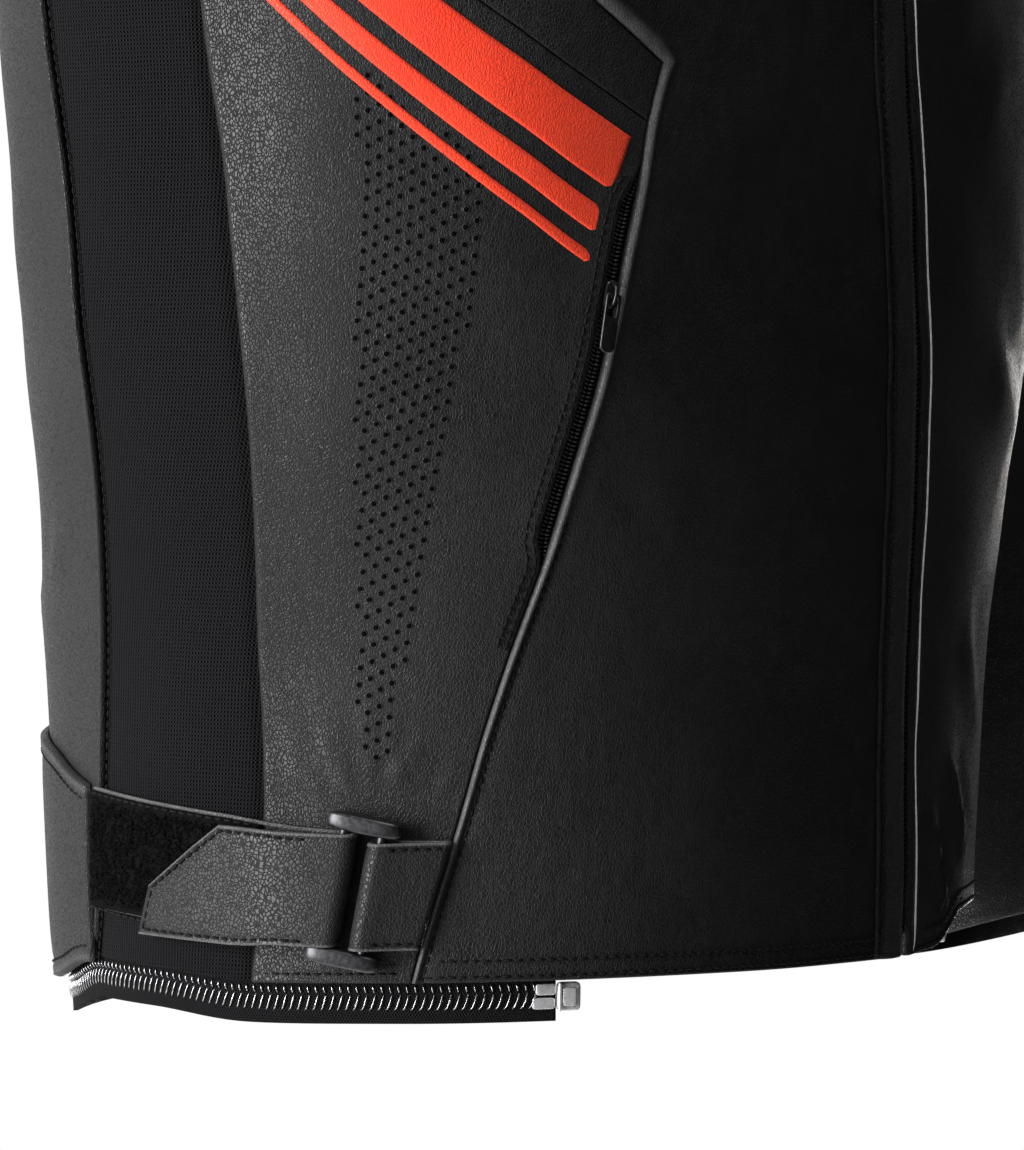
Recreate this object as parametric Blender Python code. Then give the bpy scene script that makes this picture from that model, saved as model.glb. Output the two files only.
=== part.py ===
"""Leather motorcycle jacket in the shape it has when worn, with the right sleeve raised.

Metres, +Z up, front towards -Y, the wearer's right towards -X. The origin lies between the
shoulders, level with the sides of the neck opening, where the wearer holds the jacket up.

The torso is one smooth form. A place on it is (girth, rise): girth runs round the body from 0 at
the front centre to 1 at the back centre, positive on the wearer's right, and rise runs up it in
metres from the lowest hem. Every torso piece is an outline in those two numbers, as on a cutting
table, laid on one common net of facets at its own distance from the form.
"""
import math
from functools import lru_cache

import bmesh
import bpy
import numpy as np
from mathutils import Matrix, Vector
from mathutils.geometry import delaunay_2d_cdt

# ---- driving sizes, in metres ----
WALL = 0.0020           # torso and sleeve leather
SEAM = 0.0003           # gap between two pieces at a seam
LAID = 0.0003           # gap under a piece that lies on a panel
TAPE = 0.0012           # zip tape
STRAP = 0.0016          # one layer of the waist strap
NET_COLUMNS = 16        # facets round half the body
NET_ROWS = [0.040 * i for i in range(14)] + [0.562, 0.590, 0.630, 0.670, 0.706, 0.722]
SEAM_STEP = 0.040       # spacing of points along a seam
SEAM_TURN = 1 / 16      # the same for a seam that runs round the body, in girth
NOMINAL_HALF_GIRTH = 0.55

# ---- the torso form: one row per level section ----
FORM_COLUMNS = ("rise", "z", "half_width", "front", "back", "fullness")
FORM = np.array([
    (0.000, -0.615, 0.1690, 0.1380, 0.1290, 2.10),   # lowest hem
    (0.055, -0.560, 0.1720, 0.1405, 0.1325, 2.10),
    (0.115, -0.500, 0.1780, 0.1412, 0.1320, 2.15),   # waist
    (0.160, -0.455, 0.1885, 0.1418, 0.1225, 2.30),
    (0.205, -0.410, 0.2000, 0.1430, 0.1160, 2.45),
    (0.255, -0.360, 0.2060, 0.1440, 0.1150, 2.55),
    (0.305, -0.310, 0.2085, 0.1415, 0.1185, 2.60),
    (0.375, -0.240, 0.2100, 0.1340, 0.1280, 2.60),   # underarm
    (0.455, -0.160, 0.2110, 0.1200, 0.1290, 2.45),
    (0.515, -0.100, 0.2120, 0.1020, 0.1180, 2.25),
    (0.562, -0.056, 0.2120, 0.0820, 0.1000, 2.05),   # shoulder points
    (0.590, -0.040, 0.1880, 0.0740, 0.0930, 2.00),
    (0.630, -0.024, 0.1500, 0.0660, 0.0840, 2.00),
    (0.670, -0.010, 0.1120, 0.0590, 0.0770, 2.00),
    (0.705, 0.000, 0.0780, 0.0560, 0.0720, 2.00),    # sides of the neck
    (0.722, 0.014, 0.0680, 0.0530, 0.0690, 2.00),
])

# ---- seams, as (rise, girth) rows from the hem up ----
RIDGE = [(0.000, 0.404), (0.023, 0.391), (0.045, 0.378), (0.071, 0.361), (0.096, 0.346), (0.125, 0.326),
         (0.150, 0.309), (0.174, 0.295), (0.198, 0.281), (0.219, 0.2715), (0.239, 0.264), (0.260, 0.2555),
         (0.2775, 0.2485), (0.295, 0.237)]
STRETCH_FRONT = [(0.000, 0.499), (0.023, 0.495), (0.047, 0.489), (0.077, 0.483), (0.137, 0.481),
                 (0.196, 0.4795), (0.254, 0.485), (0.313, 0.4925), (0.3757, 0.4921)]
STRETCH_BACK = [(0.000, 0.646), (0.025, 0.6375), (0.043, 0.629), (0.086, 0.6155), (0.135, 0.598),
                (0.196, 0.5865), (0.255, 0.589), (0.315, 0.598), (0.3931, 0.5977)]
CLOSURE = [(0.000, 0.000), (0.102, 0.0004), (0.133, -0.0024), (0.164, -0.0059), (0.195, -0.0064),
           (0.2265, -0.0019), (0.2576, 0.0036), (0.2886, 0.0061), (0.317, 0.0060), (0.400, 0.003), (0.545, 0.000)]
# seams that run mostly sideways, as (girth, rise) rows
RIDGE_TOP = [(0.237, 0.295), (0.259, 0.3044), (0.279, 0.3129), (0.350, 0.346), (0.4283, 0.3931)]
THIN_SEAM = [(0.2485, 0.2775), (0.2775, 0.2872), (0.300, 0.2951), (0.3214, 0.3036), (0.343, 0.3121),
             (0.410, 0.343), (0.4741, 0.3780)]
HEM_RIGHT = [(0.00, 0.0216), (0.10, 0.0225), (0.25, 0.0232), (0.40, 0.0225), (0.50, 0.0217), (0.58, 0.0243),
             (0.64, 0.0247), (0.70, 0.0185), (0.78, 0.0140), (1.00, 0.0115)]
HEM_LEFT = [(0.00, 0.0216), (0.057, 0.0227), (0.080, 0.0270), (0.105, 0.0320), (0.160, 0.0325), (0.2325, 0.0294),
            (0.35, 0.0245), (0.50, 0.0217), (0.58, 0.0243), (0.64, 0.0247), (0.70, 0.0185), (0.78, 0.0140),
            (1.00, 0.0115)]
NECKLINE = [(0.000, 0.541), (0.070, 0.548), (0.120, 0.565), (0.150, 0.590), (0.200, 0.630), (0.270, 0.670),
            (0.360, 0.695), (0.500, 0.705), (0.650, 0.711), (0.800, 0.716), (1.000, 0.718)]
BELT_TOP = [(0.631, 0.0785), (0.650, 0.0810), (0.690, 0.0873), (0.764, 0.0915), (1.000, 0.0960)]
PLACKET_INNER = [(0.020, 0.011), (0.071, 0.012), (0.102, 0.013), (0.133, 0.010), (0.164, 0.0064), (0.195, 0.0055),
                 (0.2265, 0.0097), (0.257, 0.015), (0.288, 0.0174), (0.313, 0.0150), (0.450, 0.013), (0.543, 0.012)]
PLACKET_WIDTH = 0.0305   # girth share
CLOSURE_HALF = 0.0042    # girth share from the closure line to each front's edge
SLOT = 0.0085            # girth share: how far the pocket zip holds the side front off the ridge
SLOT_ENDS = (0.146, 0.157, 0.252, 0.265)

# ---- armhole: a full oval in (girth, rise), angle 0 at the shoulder point, 90 at the front ----
ARMHOLE_CENTRE = (0.513, 0.4705)
ARMHOLE_HALF = (0.133, 0.0955)
ARMHOLE_FULLNESS = 2.2
ARMHOLE_STEPS = 48
AT_RIDGE, AT_THIN_SEAM, AT_STRETCH_FRONT, AT_STRETCH_BACK = 19, 22, 23, 29

# ---- generic coloured bands: (name, distance below the thin seam to the upper edge, width) ----
BANDS = [("band_wide", 0.0070, 0.0170), ("band_mid", 0.0295, 0.0075), ("band_thin", 0.0420, 0.0035)]
BAND_SLANT = 0.83        # cosine of the thin seam's slope

# ---- sleeves: a row per ring, from just past the armhole to the cuff ----
# centre x, y, z; vector from the centre to the outer (top) line; half size towards the front
SLEEVE_LEFT = [
    (0.2402, 0.000, -0.1530, 0.0240, 0.0, 0.0890, 0.0820),
    (0.2593, 0.000, -0.1720, 0.0438, 0.0, 0.0780, 0.0790),
    (0.2738, -0.001, -0.1975, 0.0573, 0.0, 0.0605, 0.0765),
    (0.2815, -0.001, -0.2290, 0.0645, 0.0, 0.0390, 0.0745),
    (0.2841, -0.002, -0.2650, 0.0669, 0.0, 0.0200, 0.0725),
    (0.2837, -0.003, -0.3125, 0.0667, 0.0, 0.0075, 0.0700),
    (0.2829, -0.004, -0.3625, 0.0652, 0.0, 0.0025, 0.0670),
    (0.2806, -0.006, -0.4100, 0.0625, 0.0, 0.0000, 0.0635),
    (0.2782, -0.014, -0.4610, 0.0590, 0.0, -0.0010, 0.0590),
    (0.2758, -0.027, -0.5130, 0.0545, 0.0, -0.0020, 0.0550),
    (0.2734, -0.041, -0.5640, 0.0500, 0.0, -0.0020, 0.0505),
    (0.2720, -0.054, -0.6080, 0.0460, 0.0, -0.0020, 0.0465),
]
SLEEVE_RIGHT = [
    (-0.2520, -0.012, -0.1490, -0.004, 0.0, 0.0870, 0.0790),
    (-0.2950, -0.032, -0.1530, -0.004, 0.0, 0.0820, 0.0755),
    (-0.3380, -0.056, -0.1580, -0.005, 0.0, 0.0775, 0.0725),
    (-0.3810, -0.081, -0.1630, -0.005, 0.0, 0.0735, 0.0695),
    (-0.4240, -0.108, -0.1680, -0.004, 0.0, 0.0705, 0.0665),
    (-0.4620, -0.138, -0.1710, 0.000, 0.0, 0.0675, 0.0640),
    (-0.4900, -0.174, -0.1680, 0.002, 0.006, 0.0640, 0.0610),
    (-0.5090, -0.215, -0.1610, 0.002, 0.011, 0.0600, 0.0580),
    (-0.5230, -0.258, -0.1530, 0.002, 0.011, 0.0560, 0.0545),
    (-0.5350, -0.301, -0.1440, 0.002, 0.011, 0.0520, 0.0510),
    (-0.5460, -0.344, -0.1350, 0.002, 0.010, 0.0485, 0.0480),
    (-0.5560, -0.386, -0.1260, 0.002, 0.010, 0.0455, 0.0460),
]
ARMHOLE_GAP = 0.0007     # how far inside the armhole a sleeve's first ring lies
SLEEVE_FACETS = 16       # facets round a sleeve
SLEEVE_SEAM = 5          # the two sleeve seams lie this many facets from the outer line

# ---- waist adjuster, in metres round the half girth from the front centre, and rise ----
BAR_RADIUS = 0.0017
BAR_HEIGHT = 0.0046      # bar centre above the panel
BAR_PLAY = 0.0008        # between a bar and the strap round it
RING_SPREAD = 0.0115     # between the two bars' centres
RING_TOP, RING_BOTTOM = (0.2047, 0.0710), (0.2102, 0.0303)
CAP = (0.0210, 0.0050, 0.0068)
TAB_REST = 0.0046        # middle of the tab's thickness above the panel

# ---- sliders and pull tabs ----
SLIDER_PLATE = (0.0070, 0.0095, 0.0013)      # lies over both edges of the slot
SLIDER_BODY = (0.0036, 0.0080, 0.0030)       # stands in the slot, down to the tape
BRIDGE = (0.0018, 0.0066, 0.0008, 0.0018)    # width, length, bar, clear height under it
PULL_LENGTH, PULL_WIDTH, PULL_THICK = 0.0175, 0.0050, 0.0011
PULL_EYE = (0.0030, 0.0058)
COLLAR_HEIGHT = 0.036


# ---------------------------------------------------------------- curves
def smooth(x, rows):
    """Monotone cubic through rows of (position, value): passes each row without overshoot."""
    xs = np.array([r[0] for r in rows], float)
    ys = np.array([r[1] for r in rows], float)
    run = np.diff(xs)
    rise = np.diff(ys) / run
    slope = np.concatenate([[rise[0]], np.zeros(len(xs) - 2), [rise[-1]]])
    for i in range(1, len(xs) - 1):
        if rise[i - 1] * rise[i] > 0:
            w1, w2 = 2 * run[i] + run[i - 1], run[i] + 2 * run[i - 1]
            slope[i] = (w1 + w2) / (w1 / rise[i - 1] + w2 / rise[i])
    x = float(np.clip(x, xs[0], xs[-1]))
    k = int(np.clip(np.searchsorted(xs, x) - 1, 0, len(xs) - 2))
    t = (x - xs[k]) / run[k]
    start = (2 * t**3 - 3 * t**2 + 1) * ys[k] + (t**3 - 2 * t**2 + t) * run[k] * slope[k]
    end = (3 * t**2 - 2 * t**3) * ys[k + 1] + (t**3 - t**2) * run[k] * slope[k + 1]
    return float(start + end)


def stops(first, last, step=SEAM_STEP):
    """first, last and the odd half steps between them, which keep clear of the net's own lines."""
    low, high = min(first, last), max(first, last)
    between = [(k + 0.5) * step for k in range(math.floor(low / step), math.ceil(high / step))]
    values = [low] + [v for v in between if low + step / 4 < v < high - step / 4] + [high]
    return values if first <= last else values[::-1]


def up(rows, first, last, corners=()):
    """A seam that runs up the body, as (girth, rise) points from rise first to rise last."""
    rises = [r for r in stops(first, last) if r in (first, last) or all(abs(r - c) > 0.008 for c in corners)]
    rises = sorted(rises + [c for c in corners if min(first, last) < c < max(first, last)], reverse=first > last)
    return [(smooth(r, rows), r) for r in rises]


def across(rows, first, last, step=SEAM_TURN):
    """A seam that runs round the body, as (girth, rise) points."""
    return [(g, smooth(g, rows)) for g in stops(first, last, step)]


def mirrored(points):
    return [(-g, r) for g, r in points]


def past_back(points):
    """The same places on the left half, counted on past the back centre."""
    return [(2 - g, r) for g, r in points]


# ---------------------------------------------------------------- the torso form
@lru_cache(maxsize=None)
def section(rise):
    """Right half of one level section: x, y and the length round from the front centre."""
    z, width, front, back, fullness = (smooth(rise, FORM[:, [0, i]]) for i in range(1, 6))
    angle = np.linspace(0, math.pi, 361)
    x = -width * np.abs(np.sin(angle)) ** (2 / fullness)
    depth = np.where(np.cos(angle) >= 0, -front, back)
    y = depth * np.abs(np.cos(angle)) ** (2 / fullness)
    length = np.concatenate([[0], np.cumsum(np.hypot(np.diff(x), np.diff(y)))])
    return x, y, length, z


def half_girth(rise):
    return float(section(round(rise, 6))[2][-1])


def fold(girth):
    """Any girth brought to the right half, with the side it came from."""
    girth = (girth + 1) % 2 - 1
    return abs(girth), (1 if girth >= 0 else -1)


def body(girth, rise):
    """The smooth torso form."""
    g, side = fold(girth)
    x, y, length, z = section(round(rise, 6))
    at = g * length[-1]
    return Vector((side * np.interp(at, length, x), np.interp(at, length, y), z))


def facing(girth, rise):
    """Unit normal of the smooth form, outwards."""
    step = 0.004
    round_body = body(girth + step, rise) - body(girth - step, rise)
    up_body = body(girth, rise + step) - body(girth, rise - step)
    return up_body.cross(round_body).normalized()


@lru_cache(maxsize=None)
def net_point(column, row):
    """A corner of the common net on the right half, with the normal there."""
    g, r = column / NET_COLUMNS, NET_ROWS[row]
    return body(g, r), facing(g, r)


def skin(girth, rise, out):
    """A place on the common net of facets, moved out by out: facets at two distances never cross."""
    g, side = fold(girth)
    column = min(int(g * NET_COLUMNS), NET_COLUMNS - 1)
    row = int(np.clip(np.searchsorted(NET_ROWS, rise) - 1, 0, len(NET_ROWS) - 2))
    u = g * NET_COLUMNS - column
    v = (rise - NET_ROWS[row]) / (NET_ROWS[row + 1] - NET_ROWS[row])
    corners = [((0, 0), 1 - max(u, v)), ((1, 1), min(u, v)), ((1, 0) if u > v else (0, 1), abs(u - v))]
    point = Vector((0, 0, 0))
    for (i, j), weight in corners:
        place, normal = net_point(column + i, row + j)
        point += (place + normal * out) * float(weight)
    point.x *= side
    return point


def over(length, rise, out):
    """A place on the smooth form given by the distance round from the front centre, signed."""
    girth = length / half_girth(rise)
    return body(girth, rise) + facing(girth, rise) * out


# ---------------------------------------------------------------- materials and objects
MATERIALS = {}


def material(name, colour, roughness, metallic=0.0):
    """One Principled material per name, colour as linear RGB."""
    if name not in MATERIALS:
        made = bpy.data.materials.new(name)
        made.use_nodes = True
        shader = made.node_tree.nodes["Principled BSDF"]
        shader.inputs["Base Color"].default_value = (*colour, 1)
        shader.inputs["Roughness"].default_value = roughness
        shader.inputs["Metallic"].default_value = metallic
        MATERIALS[name] = made
    return MATERIALS[name]


def leather(name):
    return material("leather_" + name, (0.012, 0.012, 0.013), 0.48)


def textile(name):
    return material("textile_" + name, (0.010, 0.010, 0.011), 0.9)


def metal(name):
    return material("metal_" + name, (0.10, 0.10, 0.105), 0.35, 1.0)


def solid(name, points, faces, finish):
    """A closed mesh as an object, faces turned outwards."""
    mesh = bmesh.new()
    verts = [mesh.verts.new(p) for p in points]
    for face in faces:
        mesh.faces.new([verts[i] for i in face])
    bmesh.ops.recalc_face_normals(mesh, faces=mesh.faces)
    data = bpy.data.meshes.new(name)
    mesh.to_mesh(data)
    mesh.free()
    data.shade_smooth()
    data.set_sharp_from_angle(angle=math.radians(35))
    data.materials.append(finish)
    made = bpy.data.objects.new(name, data)
    bpy.context.scene.collection.objects.link(made)
    return made


# ---------------------------------------------------------------- pieces cut from the form
def metric(point):
    """(girth, rise) in metres, for directions and distances near that place."""
    return Vector((point[0] * half_girth(point[1]), point[1]))


def inset(outline, distance):
    """The outline moved inwards by distance; every corner keeps its place in the order."""
    count = len(outline)
    flat = [metric(p) for p in outline]
    area = sum(flat[i - 1].x * flat[i].y - flat[i].x * flat[i - 1].y for i in range(count))
    turn = 1 if area > 0 else -1
    moved = []
    for i, (girth, rise) in enumerate(outline):
        scale = half_girth(rise)
        before, after = outline[i - 1], outline[(i + 1) % count]
        a = Vector(((girth - before[0]) * scale, rise - before[1])).normalized()
        b = Vector(((after[0] - girth) * scale, after[1] - rise)).normalized()
        normal = Vector((-(a.y + b.y), a.x + b.x)).normalized() * turn
        stretch = max(0.5, abs(normal.dot(Vector((-a.y, a.x)))))
        shift = normal * (distance / stretch)
        moved.append((girth + shift.x / scale, rise + shift.y))
    return moved


def inside(point, outline):
    """Even-odd test in (girth, rise)."""
    x, y = point
    hit = False
    for (x0, y0), (x1, y1) in zip(outline, outline[1:] + outline[:1]):
        if (y0 > y) != (y1 > y) and x < x0 + (y - y0) / (y1 - y0) * (x1 - x0):
            hit = not hit
    return hit


def net_lines(outline):
    """The net's lines and diagonals over an outline, as pairs of (girth, rise) points."""
    low = min(p[0] for p in outline)
    high = max(p[0] for p in outline)
    columns = range(math.floor(low * NET_COLUMNS), math.ceil(high * NET_COLUMNS) + 1)
    rows = [r for r in range(len(NET_ROWS))
            if NET_ROWS[max(r - 1, 0)] <= max(p[1] for p in outline)
            and NET_ROWS[min(r + 1, len(NET_ROWS) - 1)] >= min(p[1] for p in outline)]
    lines = []
    for r in rows:
        for c in columns:
            here = (c / NET_COLUMNS, NET_ROWS[r])
            if c < columns[-1]:
                lines.append((here, ((c + 1) / NET_COLUMNS, NET_ROWS[r])))
            if r < rows[-1]:
                lines.append((here, (c / NET_COLUMNS, NET_ROWS[r + 1])))
            if c < columns[-1] and r < rows[-1]:
                rising = fold((c + 0.5) / NET_COLUMNS)[1] > 0
                start, end = (c, c + 1) if rising else (c + 1, c)
                lines.append(((start / NET_COLUMNS, NET_ROWS[r]), (end / NET_COLUMNS, NET_ROWS[r + 1])))
    return lines


def panel(name, outline, low, high, finish, gap=SEAM / 2):
    """A wall with the given outline, from low to high above the form, on the common net."""
    outline = inset(outline, gap)
    points, edges = [], []
    for line in [*zip(outline, outline[1:] + outline[:1]), *net_lines(outline)]:
        edges.append((len(points), len(points) + 1))
        points += [Vector((p[0] * NOMINAL_HALF_GIRTH, p[1])) for p in line]
    flat, _, triangles, _, _, _ = delaunay_2d_cdt(points, edges, [], 0, 1e-5)
    places = [(p.x / NOMINAL_HALF_GIRTH, p.y) for p in flat]
    kept = [t for t in triangles
            if inside((sum(places[i][0] for i in t) / 3, sum(places[i][1] for i in t) / 3), outline)]
    used = sorted({i for t in kept for i in t})
    index = {old: new for new, old in enumerate(used)}
    kept = [[index[i] for i in t] for t in kept]
    count = len(used)
    verts = [skin(*places[i], high) for i in used] + [skin(*places[i], low) for i in used]
    sides = {}
    for a, b, c in kept:
        for edge in ((a, b), (b, c), (c, a)):
            sides[edge] = sides.get(edge, 0) + 1
    rim = [(a, b) for a, b in sides if (b, a) not in sides]
    faces = kept + [[i + count for i in reversed(t)] for t in kept]
    faces += [[b, a, a + count, b + count] for a, b in rim]
    return solid(name, verts, faces, finish)


def armhole(first, last):
    """Armhole points from step first to step last: both ends and the sleeve's own steps between."""
    low, high = min(first, last), max(first, last)
    order = [low] + [k for k in range(low + 1, high) if k % (ARMHOLE_STEPS // SLEEVE_FACETS) == 0] + ([high] if high > low else [])
    points = []
    for k in (order if first <= last else order[::-1]):
        angle = 2 * math.pi * k / ARMHOLE_STEPS
        s, c = math.sin(angle), math.cos(angle)
        girth = ARMHOLE_CENTRE[0] - ARMHOLE_HALF[0] * math.copysign(abs(s) ** (2 / ARMHOLE_FULLNESS), s)
        rise = ARMHOLE_CENTRE[1] + ARMHOLE_HALF[1] * math.copysign(abs(c) ** (2 / ARMHOLE_FULLNESS), c)
        points.append((girth, rise))
    return points


def shoulder_seam():
    """From the shoulder point to the side of the neck."""
    tip, neck = armhole(0, 0)[0], (0.500, smooth(0.5, NECKLINE))
    return [(tip[0] + (neck[0] - tip[0]) * (r - tip[1]) / (neck[1] - tip[1]), r) for r in stops(tip[1], neck[1])]


def slot(rise):
    """How far the side front's edge stands off the ridge along the pocket zip."""
    a, b, c, d = SLOT_ENDS
    return SLOT * float(np.interp(rise, [a, b, c, d], [0, 1, 1, 0]))


def hem(rows, first, last):
    return across(rows, first, last)


def chain(*parts):
    """Parts of an outline joined end to end, keeping one of two points that nearly coincide."""
    joined = []
    for part in parts:
        for point in part:
            if not joined or math.dist(point, joined[-1]) > 1.5e-3:
                joined.append(point)
    if math.dist(joined[0], joined[-1]) < 1.5e-3:
        joined.pop()
    return joined


def torso_side(side, hem_rows):
    """The cut outlines of one side, given for the right half."""
    ridge_foot = smooth(0.0232, RIDGE)
    ridge = up(RIDGE, smooth(ridge_foot, hem_rows), THIN_SEAM[0][1], SLOT_ENDS)
    ridge_end = up(RIDGE, THIN_SEAM[0][1], RIDGE_TOP[0][1])
    front_foot, back_foot = STRETCH_FRONT[1][1], STRETCH_BACK[1][1]
    stretch_front = up(STRETCH_FRONT, smooth(front_foot, hem_rows), armhole(AT_STRETCH_FRONT, AT_STRETCH_FRONT)[0][1])
    stretch_back = up(STRETCH_BACK, smooth(back_foot, hem_rows), armhole(AT_STRETCH_BACK, AT_STRETCH_BACK)[0][1])
    ridge_top = across(RIDGE_TOP, RIDGE_TOP[0][0], armhole(AT_RIDGE, AT_RIDGE)[0][0])
    thin_seam = across(THIN_SEAM, THIN_SEAM[0][0], armhole(AT_THIN_SEAM, AT_THIN_SEAM)[0][0])
    closure = [(g + CLOSURE_HALF, r) if side > 0 else (CLOSURE_HALF - g, r)
               for g, r in up(CLOSURE, hem_rows[0][1], NECKLINE[0][1])]
    side_edge = [(g + slot(r), r) for g, r in ridge]
    return {
        "front": chain(hem(hem_rows, closure[0][0], ridge[0][0]), ridge, ridge_end, ridge_top,
                       armhole(AT_RIDGE, 0), shoulder_seam(),
                       across(NECKLINE, 0.5, closure[-1][0]), closure[::-1]),
        "side_front": chain(hem(hem_rows, side_edge[0][0], stretch_front[0][0]), stretch_front,
                            armhole(AT_STRETCH_FRONT, AT_THIN_SEAM), thin_seam[::-1], side_edge[::-1]),
        "insert": chain(ridge_end, ridge_top, armhole(AT_RIDGE, AT_THIN_SEAM), thin_seam[::-1]),
        "stretch_side": chain(hem(hem_rows, stretch_front[0][0], stretch_back[0][0]), stretch_back,
                              armhole(AT_STRETCH_BACK, AT_STRETCH_FRONT), stretch_front[::-1]),
        "back_edge": chain(stretch_back, armhole(AT_STRETCH_BACK, ARMHOLE_STEPS), shoulder_seam()),
    }


def band_outline(drop, width):
    """A straight band parallel to the thin seam, from the pocket edge to the stretch panel."""
    edges = []
    for fall in (drop / BAND_SLANT, (drop + width) / BAND_SLANT):
        line = [(g, smooth(g, THIN_SEAM) - fall) for g in np.linspace(0.2485, 0.479, 60)]
        clear = [(g, r) for g, r in line
                 if smooth(r, RIDGE) + slot(r) + 0.009 < g < smooth(r, STRETCH_FRONT) - 0.012]
        edges.append(clear[::4] + ([clear[-1]] if (len(clear) - 1) % 4 else []))
    return chain(edges[0], edges[1][::-1])


def make_torso():
    right, left = torso_side(1, HEM_RIGHT), torso_side(-1, HEM_LEFT)
    for label, cuts, turn in (("right", right, list), ("left", left, mirrored)):
        for cut in ("front", "side_front", "insert"):
            panel(f"{cut}_{label}", turn(cuts[cut]), -WALL, 0, leather(cut))
        panel(f"stretch_side_{label}", turn(cuts["stretch_side"]), -WALL, 0, textile("stretch"))
        for name, drop, width in BANDS:
            panel(f"{name}_{label}", turn(band_outline(drop, width)), LAID, LAID + 0.0008,
                  material("leather_band", (0.52, 0.045, 0.022), 0.45), 0)
    left_edge = past_back(left["back_edge"])
    neck = across(NECKLINE, 0.5, 1.0)
    outline = chain(hem(HEM_RIGHT, right["back_edge"][0][0], 1.0), past_back(hem(HEM_LEFT, 1.0, left["back_edge"][0][0])),
                    left_edge, past_back(neck), neck[::-1], right["back_edge"][::-1])
    panel("back", outline, -WALL, 0, leather("back"))
    lower = [(g, smooth(g, HEM_RIGHT) - 0.0015) for g in stops(0.636, 1.0, SEAM_TURN)]
    upper = across(BELT_TOP, 0.631, 1.0)
    outline = chain(lower, past_back(lower)[::-1], past_back(upper), upper[::-1])
    panel("back_hem_belt", outline, LAID, LAID + 0.0034, leather("belt"))
    inner = up(PLACKET_INNER, 0.0222, 0.5405)
    outer = [(g + PLACKET_WIDTH, r) for g, r in inner]
    panel("placket", chain(inner, outer[::-1]), LAID, LAID + 0.0032, leather("placket"))


# ---------------------------------------------------------------- collar and sleeves
def strip(name, outer, inner, finish):
    """A wall from two grids of points, rows by columns, closed on all four edges."""
    rows, columns = len(outer), len(outer[0])
    points = [p for row in outer for p in row] + [p for row in inner for p in row]
    count = rows * columns
    faces = []
    for r in range(rows - 1):
        for c in range(columns - 1):
            a = r * columns + c
            quad = [a, a + 1, a + columns + 1, a + columns]
            faces += [quad, [i + count for i in reversed(quad)]]
    border = [c for c in range(columns)] + [r * columns + columns - 1 for r in range(1, rows)]
    border += [(rows - 1) * columns + c for c in range(columns - 2, -1, -1)]
    border += [r * columns for r in range(rows - 2, 0, -1)]
    for a, b in zip(border, border[1:] + border[:1]):
        faces.append([b, a, a + count, b + count])
    return solid(name, points, faces, finish)


def make_collar():
    """A stand collar on the neckline, open at the front, leaning in a little as it rises."""
    half = [(g, r) for g, r in across(NECKLINE, 0.012, 1.0)]
    line = [(-g, r) for g, r in half[:-1]] + [(g, r) for g, r in half[::-1]]
    centre = Vector((0, 0.008, 0))
    outer, inner = [[], [], []], [[], [], []]
    for girth, rise in line:
        base = skin(girth, rise + 0.0006, -0.0002)
        away = Vector((base.x - centre.x, base.y - centre.y, 0)).normalized()
        front = max(0.0, 1 - abs(girth) / 0.35)
        top = COLLAR_HEIGHT - 0.006 * front
        for k, share in enumerate((0, 0.5, 1)):
            lean = away * (0.002 + 0.004 * math.sin(math.pi * share) - 0.004 * share)
            place = base + Vector((0, 0, 0.0004 + top * share)) + lean * (share > 0)
            outer[k].append(place)
            inner[k].append(place - away * 0.0024)
    strip("collar", outer, inner, leather("collar"))


def sleeve_rings(rows, side):
    """Outer and inner rings of one sleeve, the first just inside the armhole."""
    outer, inner = [], []
    ring = [armhole(k, k)[0] for k in range(0, ARMHOLE_STEPS, ARMHOLE_STEPS // SLEEVE_FACETS)]
    for depth, store in ((ARMHOLE_GAP, outer), (ARMHOLE_GAP + WALL, inner)):
        store.append([skin(side * g, r, -0.0010) for g, r in inset(ring, depth)])
    middle = (outer[0][0] + outer[0][SLEEVE_FACETS // 2]) / 2
    centres = [middle] + [Vector(row[:3]) for row in rows]
    for k, row in enumerate(rows, 1):
        axis = (centres[min(k + 1, len(rows))] - centres[k - 1]).normalized()
        top = Vector(row[3:6])
        front = axis.cross(top).normalized() * row[6]
        if front.y > 0:
            front = -front
        for thick, store in ((0, outer), (WALL, inner)):
            a = top * (1 - thick / top.length)
            b = front * (1 - thick / front.length)
            angles = [2 * math.pi * i / SLEEVE_FACETS for i in range(SLEEVE_FACETS)]
            store.append([centres[k] + a * math.cos(t) + b * math.sin(t) for t in angles])
    return outer, inner


def make_sleeves():
    for label, rows, side in (("left", SLEEVE_LEFT, -1), ("right", SLEEVE_RIGHT, 1)):
        outer, inner = sleeve_rings(rows, side)
        for cut, first, last in (("top", -SLEEVE_SEAM, SLEEVE_SEAM), ("under", SLEEVE_SEAM, SLEEVE_FACETS - SLEEVE_SEAM)):
            grids = []
            for rings in (outer, inner):
                grid = []
                for ring in rings:
                    points = [ring[i % SLEEVE_FACETS].copy() for i in range(first, last + 1)]
                    for end, nxt in ((0, 1), (-1, -2)):
                        points[end] += (points[nxt] - points[end]).normalized() * SEAM / 2
                    grid.append(points)
                grids.append(grid)
            strip(f"sleeve_{cut}_{label}", *grids, leather("sleeve"))


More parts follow.
